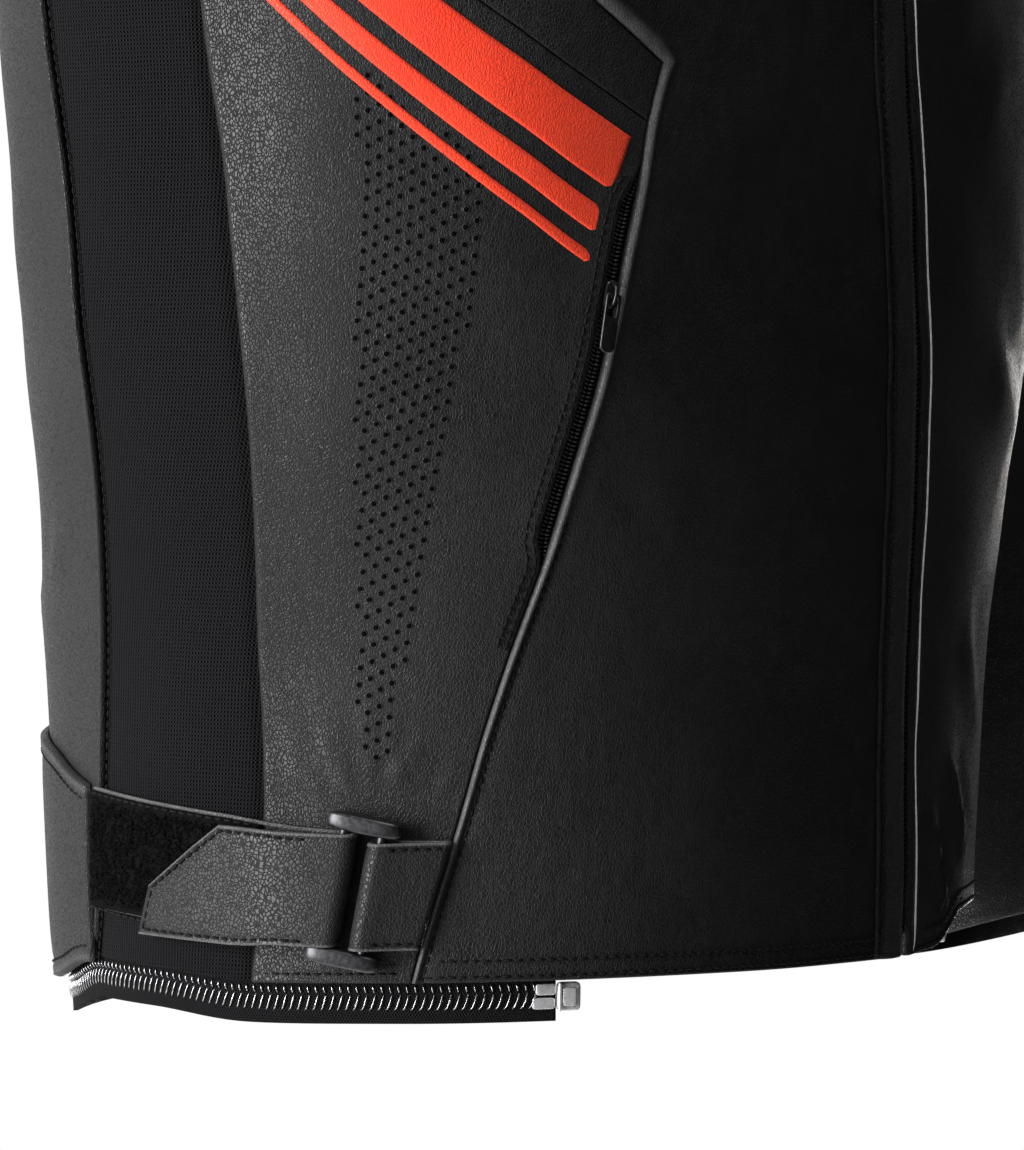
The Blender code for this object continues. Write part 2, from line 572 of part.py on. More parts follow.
# ---------------------------------------------------------------- waist adjusters
def ribbon(name, columns, side, finish, thick=STRAP):
    """A strap as columns of (length, rise) at its lower and upper edge and a height, in order."""
    centre = []
    for s0, r0, s1, r1, out in columns:
        centre.append(Vector(((s0 + s1) / 2, out)))
    grids = {1: [], -1: []}
    for k, (s0, r0, s1, r1, out) in enumerate(columns):
        along = (centre[min(k + 1, len(centre) - 1)] - centre[max(k - 1, 0)]).normalized()
        normal = Vector((-along.y, along.x)) * thick / 2
        for way, grid in grids.items():
            shift = normal * way
            line = []
            for share in (0, 0.5, 1):
                length = s0 + (s1 - s0) * share + shift.x
                rise = r0 + (r1 - r0) * share
                line.append(over(side * length, rise, out + shift.y))
            grid.append(line)
    return strip(name, grids[1], grids[-1], finish)


def wrap(bar, radius, lower, upper, start, end, steps=8):
    """The columns of a strap that turns round a bar, from angle start to angle end in degrees."""
    columns = []
    for k in range(steps + 1):
        angle = math.radians(start + (end - start) * k / steps)
        dx, dy = radius * math.cos(angle), radius * math.sin(angle)
        columns.append((bar(lower) + dx, lower, bar(upper) + dx, upper, BAR_HEIGHT + dy))
    return columns


def bar_line(offset):
    """Where one of the ring's bars runs: length round the body at a rise."""
    (s1, r1), (s0, r0) = RING_TOP, RING_BOTTOM
    return lambda rise: s0 + (s1 - s0) * (rise - r0) / (r1 - r0) + offset


def make_waist_adjuster(label, side):
    back_bar, front_bar = bar_line(RING_SPREAD / 2), bar_line(-RING_SPREAD / 2)
    back_edges, front_edges = (0.0358, 0.0679), (0.0332, 0.0655)
    radius = BAR_RADIUS + BAR_PLAY + STRAP / 2
    flat = BAR_HEIGHT - radius
    band = [(0.3070, 0.0410, 0.3070, 0.0780), (0.2960, 0.0404, 0.2960, 0.0769), (0.2840, 0.0397, 0.2840, 0.0757),
            (0.2720, 0.0390, 0.2720, 0.0745), (0.2600, 0.0383, 0.2600, 0.0733), (0.2480, 0.0376, 0.2480, 0.0721),
            (0.2370, 0.0366, 0.2370, 0.0705), (0.2260, 0.0358, 0.2260, 0.0692)]
    tab = [(0.2300, 0.0356, 0.2300, 0.0692, 0.0061), (0.2400, 0.0342, 0.2400, 0.0694, TAB_REST + 0.0002),
           (0.2480, 0.0340, 0.2480, 0.0696, TAB_REST), (0.2560, 0.0343, 0.2546, 0.0697, TAB_REST),
           (0.2660, 0.0346, 0.2632, 0.0632, TAB_REST), (0.2750, 0.0349, 0.2716, 0.0567, TAB_REST),
           (0.2838, 0.0352, 0.2800, 0.0503, TAB_REST)]
    strap = [(*c, flat) for c in band] + wrap(back_bar, radius, *back_edges, 270, 90) + tab
    ribbon(f"waist_strap_{label}", strap, side, leather("strap"))
    patch = [(s, r0 + 0.0006, s, r1 - 0.0008, 0.0005 + STRAP + 0.0003 + 0.0006) for s, r0, _, r1 in band[:7]]
    ribbon(f"loop_patch_{label}", patch, side, textile("loop"), 0.0012)

    def to_ridge(share, height):
        """A column of the anchor, share 0 at the ridge and 1 beside the bar."""
        places = []
        for rise in front_edges:
            ridge = smooth(rise, RIDGE) * half_girth(rise) + 0.0006
            places.append(ridge + (front_bar(rise) - ridge) * share)
        return places[0], front_edges[0], places[1], front_edges[1], height
    anchor = [to_ridge(0, flat + STRAP + 0.0004), to_ridge(0.35, flat + STRAP + 0.0016), to_ridge(0.7, 0.0058)]
    anchor += wrap(front_bar, radius, *front_edges, 90, -90)
    anchor += [to_ridge(0.7, flat), to_ridge(0.35, flat), to_ridge(0, flat)]
    ribbon(f"strap_anchor_{label}", anchor, side, leather("strap"))
    make_ring(f"ring_{label}", side)


def upright(along, normal, spot):
    """A placing matrix: Z along the normal, Y as near along as that allows, at spot."""
    along = (along - normal * along.dot(normal)).normalized()
    place = Matrix((along.cross(normal), along, normal)).transposed().to_4x4()
    place.translation = spot
    return place


def box(mesh, size, centre):
    """A box added to a bmesh."""
    made = bmesh.ops.create_cube(mesh, size=1)["verts"]
    bmesh.ops.scale(mesh, vec=size, verts=made)
    bmesh.ops.translate(mesh, vec=centre, verts=made)
    return made


def rod(mesh, radius, length, centre, axis, sides=12):
    """A cylinder added to a bmesh, along axis X, Y or Z."""
    made = bmesh.ops.create_cone(mesh, cap_ends=True, segments=sides, radius1=radius, radius2=radius,
                                 depth=length)["verts"]
    turn = {"X": Matrix.Rotation(math.pi / 2, 3, "Y"), "Y": Matrix.Rotation(math.pi / 2, 3, "X"),
            "Z": Matrix.Identity(3)}[axis]
    bmesh.ops.rotate(mesh, cent=(0, 0, 0), matrix=turn, verts=made)
    bmesh.ops.translate(mesh, vec=centre, verts=made)
    return made


def joined(name, builders, place, finish, cutters=()):
    """Simple solids united, then cut, into one object placed by a matrix."""
    def as_object(builder, label):
        mesh = bmesh.new()
        builder(mesh)
        data = bpy.data.meshes.new(label)
        mesh.to_mesh(data)
        mesh.free()
        made = bpy.data.objects.new(label, data)
        bpy.context.scene.collection.objects.link(made)
        return made
    base = as_object(builders[0], name)
    tools = [(as_object(b, name + "_add"), "UNION") for b in builders[1:]]
    tools += [(as_object(b, name + "_cut"), "DIFFERENCE") for b in cutters]
    for tool, operation in tools:
        step = base.modifiers.new(operation.title(), "BOOLEAN")
        step.operation = operation
        step.solver = "EXACT"
        step.object = tool
    bpy.context.view_layer.update()
    data = bpy.data.meshes.new_from_object(base.evaluated_get(bpy.context.evaluated_depsgraph_get()))
    base.modifiers.clear()
    base.data = data
    for tool, _ in tools:
        bpy.data.objects.remove(tool)
    data.transform(place)
    data.shade_smooth()
    data.set_sharp_from_angle(angle=math.radians(35))
    data.materials.append(finish)
    return base


def make_ring(name, side):
    """Two round bars between two end caps."""
    length, rise = (RING_TOP[0] + RING_BOTTOM[0]) / 2, (RING_TOP[1] + RING_BOTTOM[1]) / 2
    along = over(side * RING_TOP[0], RING_TOP[1], 0) - over(side * RING_BOTTOM[0], RING_BOTTOM[1], 0)
    place = upright(along, facing(side * length / half_girth(rise), rise), over(side * length, rise, BAR_HEIGHT))
    cap = (RING_TOP[1] - RING_BOTTOM[1]) / 2
    builders = [lambda m: box(m, CAP, (0, cap, 0)), lambda m: box(m, CAP, (0, -cap, 0))]
    for x in (-RING_SPREAD / 2, RING_SPREAD / 2):
        builders.append(lambda m, x=x: rod(m, BAR_RADIUS, 2 * cap, (x, 0, 0), "Y"))
    joined(name, builders, place, metal("ring"))


# ---------------------------------------------------------------- zips
def bridge(mesh, base):
    """The slider's bridge: an arch along the zip, its legs sunk a little into the plate."""
    wide, tall, bar, clear = BRIDGE
    foot, top = base - 0.0004, base + clear + bar
    outer, inner = tall / 2, tall / 2 - bar
    profile = [(-outer, foot), (-inner, foot), (-inner, base + clear), (inner, base + clear), (inner, foot),
               (outer, foot), (outer, top - 0.0004), (outer - 0.0005, top), (0.0005 - outer, top),
               (-outer, top - 0.0004)]
    ends = [[mesh.verts.new((x, y, z)) for y, z in profile] for x in (-wide / 2, wide / 2)]
    mesh.faces.new(ends[0][::-1])
    mesh.faces.new(ends[1])
    for i in range(len(profile)):
        j = (i + 1) % len(profile)
        mesh.faces.new([ends[0][i], ends[0][j], ends[1][j], ends[1][i]])
    bmesh.ops.recalc_face_normals(mesh, faces=mesh.faces)


def slot_frame(line, rise):
    """A placing matrix on the facets with Y up along a slot, given its girth by rise, and Z out."""
    step = 0.005
    along = skin(line(rise + step), rise + step, 0) - skin(line(rise - step), rise - step, 0)
    return upright(along, facing(line(rise), rise), skin(line(rise), rise, 0))


def resting(place, size):
    """The placing matrix moved out until a flat plate of that size clears the panels' facets."""
    normal = place.to_3x3().col[2].normalized()
    height = []
    for x in (-0.5, 0, 0.5):
        for y in (-0.5, 0, 0.5):
            spot = place @ Vector((x * size[0], y * size[1], 0))
            rise = float(np.interp(spot.z, FORM[:, 1], FORM[:, 0]))
            half = section(round(rise, 6))
            length = float(np.interp(spot.y, half[1], half[2])) * (1 if spot.x <= 0 else -1)
            height.append((skin(length / half_girth(rise), rise, 0) - spot).dot(normal))
    return Matrix.Translation(normal * (max(height) + LAID)) @ place


def make_slider(prefix, line, rise):
    """A slider and its pull tab: the tab's crossbar turns under the slider's bridge."""
    plate, stem = SLIDER_PLATE, SLIDER_BODY
    place = resting(slot_frame(line, rise), plate)
    joined(prefix + "_slider", [lambda m: box(m, plate, (0, 0, plate[2] / 2)),
                                lambda m: box(m, stem, (0, 0, 0.0007 - stem[2] / 2)),
                                lambda m: bridge(m, plate[2])], place, metal("slider"))
    middle = plate[2] + BRIDGE[3] / 2
    pivot = place @ Vector((0, 0, middle))
    turn = place.to_3x3()
    hang = math.atan2(-turn.col[2].z, turn.col[1].z)
    lift = max(hang, 0.0)
    tab_place = Matrix.Translation(pivot) @ turn.to_4x4() @ Matrix.Rotation(-lift, 4, "X")
    drop = PULL_LENGTH / 2 - PULL_THICK / 2
    joined(prefix + "_pull", [lambda m: box(m, (PULL_WIDTH, PULL_LENGTH, PULL_THICK), (0, -drop, 0))],
           tab_place, metal("pull"),
           [lambda m: box(m, (PULL_EYE[0], PULL_EYE[1], 0.004), (0, -(PULL_THICK + PULL_EYE[1]) / 2, 0))])
    return pivot, turn.col[0].normalized(), math.degrees(hang)


def make_zips():
    left_edge = [(g - 0.022, r) for g, r in up(CLOSURE, 0.028, 0.532)]
    right_edge = [(g + 0.022, r) for g, r in up(CLOSURE, 0.028, 0.532)]
    panel("front_zip", chain(left_edge, right_edge[::-1]), -WALL - LAID - TAPE, -WALL - LAID, textile("tape"))
    for label, turn in (("right", list), ("left", mirrored)):
        line = up(RIDGE, 0.142, 0.268)
        edge = chain([(g - 0.012, r) for g, r in line], [(g + SLOT + 0.014, r) for g, r in line[::-1]])
        panel(f"pocket_zip_{label}", turn(edge), -WALL - LAID - TAPE, -WALL - LAID, textile("tape"))
    low = [(g, smooth(g, HEM_RIGHT) - 0.0080) for g in stops(0.300, 1.0, SEAM_TURN)]
    high = [(g, smooth(g, HEM_RIGHT) + 0.0110) for g in stops(0.300, 1.0, SEAM_TURN)]
    outline = chain(low, past_back(low)[::-1], past_back(high), high[::-1])
    panel("connection_zip", outline, -WALL - 2 * LAID - TAPE, -WALL - 2 * LAID, textile("tape"))
    pivots = {}
    for label, side in (("right", 1), ("left", -1)):
        end = 0.300 * half_girth(0.0185) - 0.0040
        spot = over(side * end, 0.0180, -WALL - 3 * LAID - 0.0017)
        place = upright(Vector((0, 0, 1)), facing(side * end / half_girth(0.0180), 0.0180), spot)
        joined(f"connection_box_{label}", [lambda m: box(m, (0.0070, 0.0082, 0.0034), (0, 0, 0)),
                                           lambda m: rod(m, 0.0010, 0.0060, (0, 0.0060, 0), "Y")],
               place, metal("box"))
        pivots["pocket_" + label] = make_slider(
            f"pocket_{label}", lambda rise, side=side: side * (smooth(rise, RIDGE) + SLOT / 2), 0.2268)
    pivots["front"] = make_slider("front", lambda rise: smooth(rise, CLOSURE), 0.520)
    return pivots


def main():
    for old in list(bpy.data.objects):
        bpy.data.objects.remove(old)
    make_torso()
    make_collar()
    make_sleeves()
    for label, side in (("right", 1), ("left", -1)):
        make_waist_adjuster(label, side)
    for name, (pivot, axis, lift) in make_zips().items():
        print(f"{name}: pivot {[round(c, 5) for c in pivot]}, axis {[round(c, 4) for c in axis]}, lift {lift:.1f}")


main()
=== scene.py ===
"""Looks of the leather motorcycle jacket: each visible surface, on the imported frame, in metres."""
import json
import math

import bpy
import numpy as np
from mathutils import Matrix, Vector


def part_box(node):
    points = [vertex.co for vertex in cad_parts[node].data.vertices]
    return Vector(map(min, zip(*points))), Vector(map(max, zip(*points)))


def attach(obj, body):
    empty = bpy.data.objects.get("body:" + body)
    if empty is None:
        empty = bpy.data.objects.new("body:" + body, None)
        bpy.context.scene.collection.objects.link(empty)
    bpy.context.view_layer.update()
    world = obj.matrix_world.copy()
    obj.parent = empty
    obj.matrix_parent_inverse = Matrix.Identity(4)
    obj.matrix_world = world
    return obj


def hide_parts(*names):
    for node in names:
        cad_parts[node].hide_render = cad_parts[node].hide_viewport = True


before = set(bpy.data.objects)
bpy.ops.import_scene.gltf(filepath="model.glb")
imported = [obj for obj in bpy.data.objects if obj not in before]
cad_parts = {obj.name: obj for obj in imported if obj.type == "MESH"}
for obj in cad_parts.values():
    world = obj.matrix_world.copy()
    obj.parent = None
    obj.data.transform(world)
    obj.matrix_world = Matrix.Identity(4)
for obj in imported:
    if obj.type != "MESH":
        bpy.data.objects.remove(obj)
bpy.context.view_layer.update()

# ---- sizes of the cut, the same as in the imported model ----
WALL = 0.002
LAID = 0.0003
TAPE = 0.0012
STRAP = 0.0016
FORM = np.array([       # rise, z, half width, front, back, fullness
    (0.0, -0.615, 0.169, 0.138, 0.129, 2.1), (0.055, -0.56, 0.172, 0.1405, 0.1325, 2.1),
    (0.115, -0.5, 0.178, 0.1412, 0.132, 2.15), (0.16, -0.455, 0.1885, 0.1418, 0.1225, 2.3),
    (0.205, -0.41, 0.2, 0.143, 0.116, 2.45), (0.255, -0.36, 0.206, 0.144, 0.115, 2.55),
    (0.305, -0.31, 0.2085, 0.1415, 0.1185, 2.6), (0.375, -0.24, 0.21, 0.134, 0.128, 2.6),
    (0.455, -0.16, 0.211, 0.12, 0.129, 2.45), (0.515, -0.1, 0.212, 0.102, 0.118, 2.25),
    (0.562, -0.056, 0.212, 0.082, 0.1, 2.05), (0.59, -0.04, 0.188, 0.074, 0.093, 2.0),
    (0.63, -0.024, 0.15, 0.066, 0.084, 2.0), (0.67, -0.01, 0.112, 0.059, 0.077, 2.0),
    (0.705, 0.0, 0.078, 0.056, 0.072, 2.0), (0.722, 0.014, 0.068, 0.053, 0.069, 2.0)])
# seams that run up the body: (rise, girth), girth as a share of the half girth from the front centre
RIDGE = [(0.0, 0.404), (0.023, 0.391), (0.045, 0.378), (0.071, 0.361), (0.096, 0.346), (0.125, 0.326), (0.15, 0.309),
         (0.174, 0.295), (0.198, 0.281), (0.219, 0.2715), (0.239, 0.264), (0.26, 0.2555), (0.2775, 0.2485),
         (0.295, 0.237)]
STRETCH_FRONT = [(0.0, 0.499), (0.023, 0.495), (0.047, 0.489), (0.077, 0.483), (0.137, 0.481), (0.196, 0.4795),
                 (0.254, 0.485), (0.313, 0.4925), (0.3757, 0.4921)]
STRETCH_BACK = [(0.0, 0.646), (0.025, 0.6375), (0.043, 0.629), (0.086, 0.6155), (0.135, 0.598), (0.196, 0.5865),
                (0.255, 0.589), (0.315, 0.598), (0.3931, 0.5977)]
CLOSURE = [(0.0, 0.0), (0.102, 0.0004), (0.133, -0.0024), (0.164, -0.0059), (0.195, -0.0064), (0.2265, -0.0019),
           (0.2576, 0.0036), (0.2886, 0.0061), (0.317, 0.006), (0.4, 0.003), (0.545, 0.0)]
# the narrow raised line beside the closure, on the wearer's left: (rise, girth)
EDGE_LINE = [(0.0216, -0.012), (0.0297, -0.0144), (0.0548, -0.0124), (0.0862, -0.0097), (0.1017, -0.0127),
             (0.133, -0.0145), (0.164, -0.0185), (0.195, -0.0185), (0.211, -0.0174), (0.2266, -0.015),
             (0.2577, -0.008), (0.2889, -0.0054), (0.3013, -0.0034), (0.32, -0.006), (0.4, -0.009), (0.535, -0.012)]
# seams that run round the body: (girth, rise)
RIDGE_TOP = [(0.237, 0.295), (0.259, 0.3044), (0.279, 0.3129), (0.35, 0.346), (0.4283, 0.3931)]
THIN_SEAM = [(0.2485, 0.2775), (0.2775, 0.2872), (0.3, 0.2951), (0.3214, 0.3036), (0.343, 0.3121), (0.41, 0.343),
             (0.4741, 0.378)]
HEM_RIGHT = [(0.0, 0.0216), (0.1, 0.0225), (0.25, 0.0232), (0.4, 0.0225), (0.5, 0.0217), (0.58, 0.0243),
             (0.64, 0.0247), (0.7, 0.0185), (0.78, 0.014), (1.0, 0.0115)]
HEM_LEFT = [(0.0, 0.0216), (0.057, 0.0227), (0.08, 0.027), (0.105, 0.032), (0.16, 0.0325), (0.2325, 0.0294),
            (0.35, 0.0245), (0.5, 0.0217), (0.58, 0.0243), (0.64, 0.0247), (0.7, 0.0185), (0.78, 0.014),
            (1.0, 0.0115)]
NECKLINE = [(0.0, 0.541), (0.07, 0.548), (0.12, 0.565), (0.15, 0.59), (0.2, 0.63), (0.27, 0.67), (0.36, 0.695),
            (0.5, 0.705), (0.65, 0.711), (0.8, 0.716), (1.0, 0.718)]
BELT_TOP = [(0.631, 0.0785), (0.65, 0.081), (0.69, 0.0873), (0.764, 0.0915), (1.0, 0.096)]
PLACKET_INNER = [(0.02, 0.011), (0.071, 0.012), (0.102, 0.013), (0.133, 0.01), (0.164, 0.0064), (0.195, 0.0055),
                 (0.2265, 0.0097), (0.257, 0.015), (0.288, 0.0174), (0.313, 0.015), (0.45, 0.013), (0.543, 0.012)]
PLACKET_WIDTH = 0.0305
CLOSURE_HALF = 0.0042
SLOT = 0.0085
SLOT_ENDS = (0.146, 0.157, 0.252, 0.265)
ARMHOLE_CENTRE, ARMHOLE_HALF, ARMHOLE_FULLNESS = (0.513, 0.4705), (0.133, 0.0955), 2.2
AT_RIDGE, AT_THIN_SEAM, AT_STRETCH_FRONT, AT_STRETCH_BACK = 19, 22, 23, 29     # steps round the armhole
ARMHOLE_STEPS = 48
BANDS = [("band_wide", 0.007, 0.017), ("band_mid", 0.0295, 0.0075), ("band_thin", 0.042, 0.0035)]
BAND_SLANT = 0.83
SLEEVES = {     # a row per ring: centre, vector to the outer line, half size to the front
    "left": np.array([
        (0.2402, 0.0, -0.153, 0.024, 0.0, 0.089, 0.082), (0.2593, 0.0, -0.172, 0.0438, 0.0, 0.078, 0.079),
        (0.2738, -0.001, -0.1975, 0.0573, 0.0, 0.0605, 0.0765), (0.2815, -0.001, -0.229, 0.0645, 0.0, 0.039, 0.0745),
        (0.2841, -0.002, -0.265, 0.0669, 0.0, 0.02, 0.0725), (0.2837, -0.003, -0.3125, 0.0667, 0.0, 0.0075, 0.07),
        (0.2829, -0.004, -0.3625, 0.0652, 0.0, 0.0025, 0.067), (0.2806, -0.006, -0.41, 0.0625, 0.0, 0.0, 0.0635),
        (0.2782, -0.014, -0.461, 0.059, 0.0, -0.001, 0.059), (0.2758, -0.027, -0.513, 0.0545, 0.0, -0.002, 0.055),
        (0.2734, -0.041, -0.564, 0.05, 0.0, -0.002, 0.0505), (0.272, -0.054, -0.608, 0.046, 0.0, -0.002, 0.0465)]),
    "right": np.array([
        (-0.252, -0.012, -0.149, -0.004, 0.0, 0.087, 0.079), (-0.295, -0.032, -0.153, -0.004, 0.0, 0.082, 0.0755),
        (-0.338, -0.056, -0.158, -0.005, 0.0, 0.0775, 0.0725), (-0.381, -0.081, -0.163, -0.005, 0.0, 0.0735, 0.0695),
        (-0.424, -0.108, -0.168, -0.004, 0.0, 0.0705, 0.0665), (-0.462, -0.138, -0.171, 0.0, 0.0, 0.0675, 0.064),
        (-0.49, -0.174, -0.168, 0.002, 0.006, 0.064, 0.061), (-0.509, -0.215, -0.161, 0.002, 0.011, 0.06, 0.058),
        (-0.523, -0.258, -0.153, 0.002, 0.011, 0.056, 0.0545), (-0.535, -0.301, -0.144, 0.002, 0.011, 0.052, 0.051),
        (-0.546, -0.344, -0.135, 0.002, 0.01, 0.0485, 0.048), (-0.556, -0.386, -0.126, 0.002, 0.01, 0.0455, 0.046)])}
BAR_RADIUS, BAR_HEIGHT, BAR_PLAY, RING_SPREAD = 0.0017, 0.0046, 0.0008, 0.0115
RING_TOP, RING_BOTTOM = (0.2047, 0.071), (0.2102, 0.0303)      # metres round from the front centre, rise
CAP = (0.023, 0.0054, 0.0066)
TAB_REST = 0.0046
COLLAR_HEIGHT = 0.036
HEM_RISE = 0.0232           # of the hem where the ridge meets it
SLEEVE_LENGTH, SLEEVE_ROUND = 0.5, 0.4
STRAP_TURN = BAR_RADIUS + BAR_PLAY + STRAP / 2      # radius at which the strap's middle turns round a bar
STRAP_LOW = BAR_HEIGHT - STRAP_TURN                 # height of the strap's middle under the ring
STRAP_TOP = STRAP_LOW + STRAP / 2 + LAID            # and of what is laid on it there
ZIP_SUNK = -WALL - LAID     # a tape's outer face, under the leather
SIDES = (("right", 1), ("left", -1))

# spacing of a cloth's grid: where folds show close up, elsewhere, on large plain pieces
FINE, PLAIN, WIDE = 0.0023, 0.004, 0.005
EDGE_ROUND = 0.0009         # radius of a plain cut edge
FIRST_LINE = 0.00012        # distance of a cloth's outermost grid line from its edge
# distance from a cloth's edge of its first grid lines, close together where the edge is turned
TURNED = np.array([0.12, 0.3, 0.6, 1.0, 1.6, 2.4, 3.4]) / 1000
ROLLED = np.array([0.12, 0.25, 0.45, 0.7, 1.0, 1.3, 1.6, 1.9, 2.2, 2.6, 3.2, 4.2, 6.0]) / 1000
BARE = np.array([0.12, 1.2]) / 1000
# a stitch: shares of its half length along it, and the height there
STITCH_SPREAD = np.array([-1, -0.75, 0, 0.75, 1])
STITCH_RISE = np.array([-0.0003, 0.00012, 0.0003, 0.00012, -0.0003])


# ---------------------------------------------------------------- curves and the torso form
def curve(x, rows):
    """Monotone cubic through rows of (position, value): Hermite pieces whose slope at each row is the
    harmonic mean of the two chords, or level where they turn, so it never swings past a row."""
    rows = np.asarray(rows, float)
    xs, ys = rows[:, 0], rows[:, 1]
    run = np.diff(xs)
    chord = np.diff(ys) / run
    w1, w2 = 2 * run[1:] + run[:-1], run[1:] + 2 * run[:-1]
    with np.errstate(divide="ignore", invalid="ignore"):
        inner = np.where(chord[:-1] * chord[1:] > 0, (w1 + w2) / (w1 / chord[:-1] + w2 / chord[1:]), 0.0)
    slope = np.concatenate([chord[:1], inner, chord[-1:]])
    x = np.clip(x, xs[0], xs[-1])
    k = np.clip(np.searchsorted(xs, x) - 1, 0, len(xs) - 2)
    t = (x - xs[k]) / run[k]
    return ((2 * t**3 - 3 * t**2 + 1) * ys[k] + (t**3 - 2 * t**2 + t) * run[k] * slope[k]
            + (3 * t**2 - 2 * t**3) * ys[k + 1] + (t**3 - t**2) * run[k] * slope[k + 1])


def oval(rise, angle):
    """Level section: x is the half width times sin(angle) to the power 2/fullness, y the front or back
    depth times cos(angle) to the same power, angle 0 at the front centre and pi at the back."""
    width, front, back, fullness = (curve(rise, FORM[:, [0, i]]) for i in (2, 3, 4, 5))
    s, c = np.sin(angle), np.cos(angle)
    return -width * np.abs(s) ** (2 / fullness), np.where(c >= 0, -front, back) * np.abs(c) ** (2 / fullness)


RISES = np.arange(0, 0.7225, 0.002)
ANGLES = np.linspace(0, math.pi, 721)
SHARES = 600
SECTION = oval(RISES[:, None], ANGLES[None, :])
ROUND = np.cumsum(np.hypot(np.diff(SECTION[0], prepend=SECTION[0][:, :1]),
                           np.diff(SECTION[1], prepend=SECTION[1][:, :1])), 1)
HALF = ROUND[:, -1]
ANGLE_AT = np.stack([np.interp(np.linspace(0, row[-1], SHARES + 1), row, ANGLES) for row in ROUND])


def half(rise):
    """Metres from the front centre to the back centre at a rise."""
    return np.interp(rise, RISES, HALF)


def fold(girth):
    """A girth of any size as its share from the front centre, 0 to 1, and the side it is on."""
    girth = (girth + 1) % 2 - 1
    return np.abs(girth), np.where(girth >= 0, 1.0, -1.0)


def form(girth, rise):
    """The smooth torso: the oval's angle is read from a table of arc lengths, the place from the oval."""
    girth, rise = np.broadcast_arrays(np.asarray(girth, float), np.asarray(rise, float))
    share, side = fold(girth)
    r = np.clip(rise / 0.002, 0, len(RISES) - 1.001)
    c = np.clip(share * SHARES, 0, SHARES - 0.001)
    i, j = r.astype(int), c.astype(int)
    u, v = r - i, c - j
    angle = ((ANGLE_AT[i, j] * (1 - v) + ANGLE_AT[i, j + 1] * v) * (1 - u)
             + (ANGLE_AT[i + 1, j] * (1 - v) + ANGLE_AT[i + 1, j + 1] * v) * u)
    x, y = oval(rise, angle)
    return np.stack([side * x, y, curve(rise, FORM[:, [0, 1]])], -1)


def unit(vectors):
    """Vectors brought to length one."""
    return vectors / np.maximum(np.linalg.norm(vectors, axis=-1, keepdims=True), 1e-12)


def facing(girth, rise):
    """Outward normal: the cross product of the step up the body and the step round it."""
    step = 0.004
    return unit(np.cross(form(girth, rise + step) - form(girth, rise - step),
                         form(girth + step, rise) - form(girth - step, rise)))


def lifted(girth, rise, out):
    """A place out metres above the form."""
    return form(girth, rise) + facing(girth, rise) * np.asarray(out)[..., None]


def beside(side, length, rise, out=0.0):
    """A place by its metres round from the front centre, out metres above the form."""
    return lifted(side * length / half(rise), rise, out)


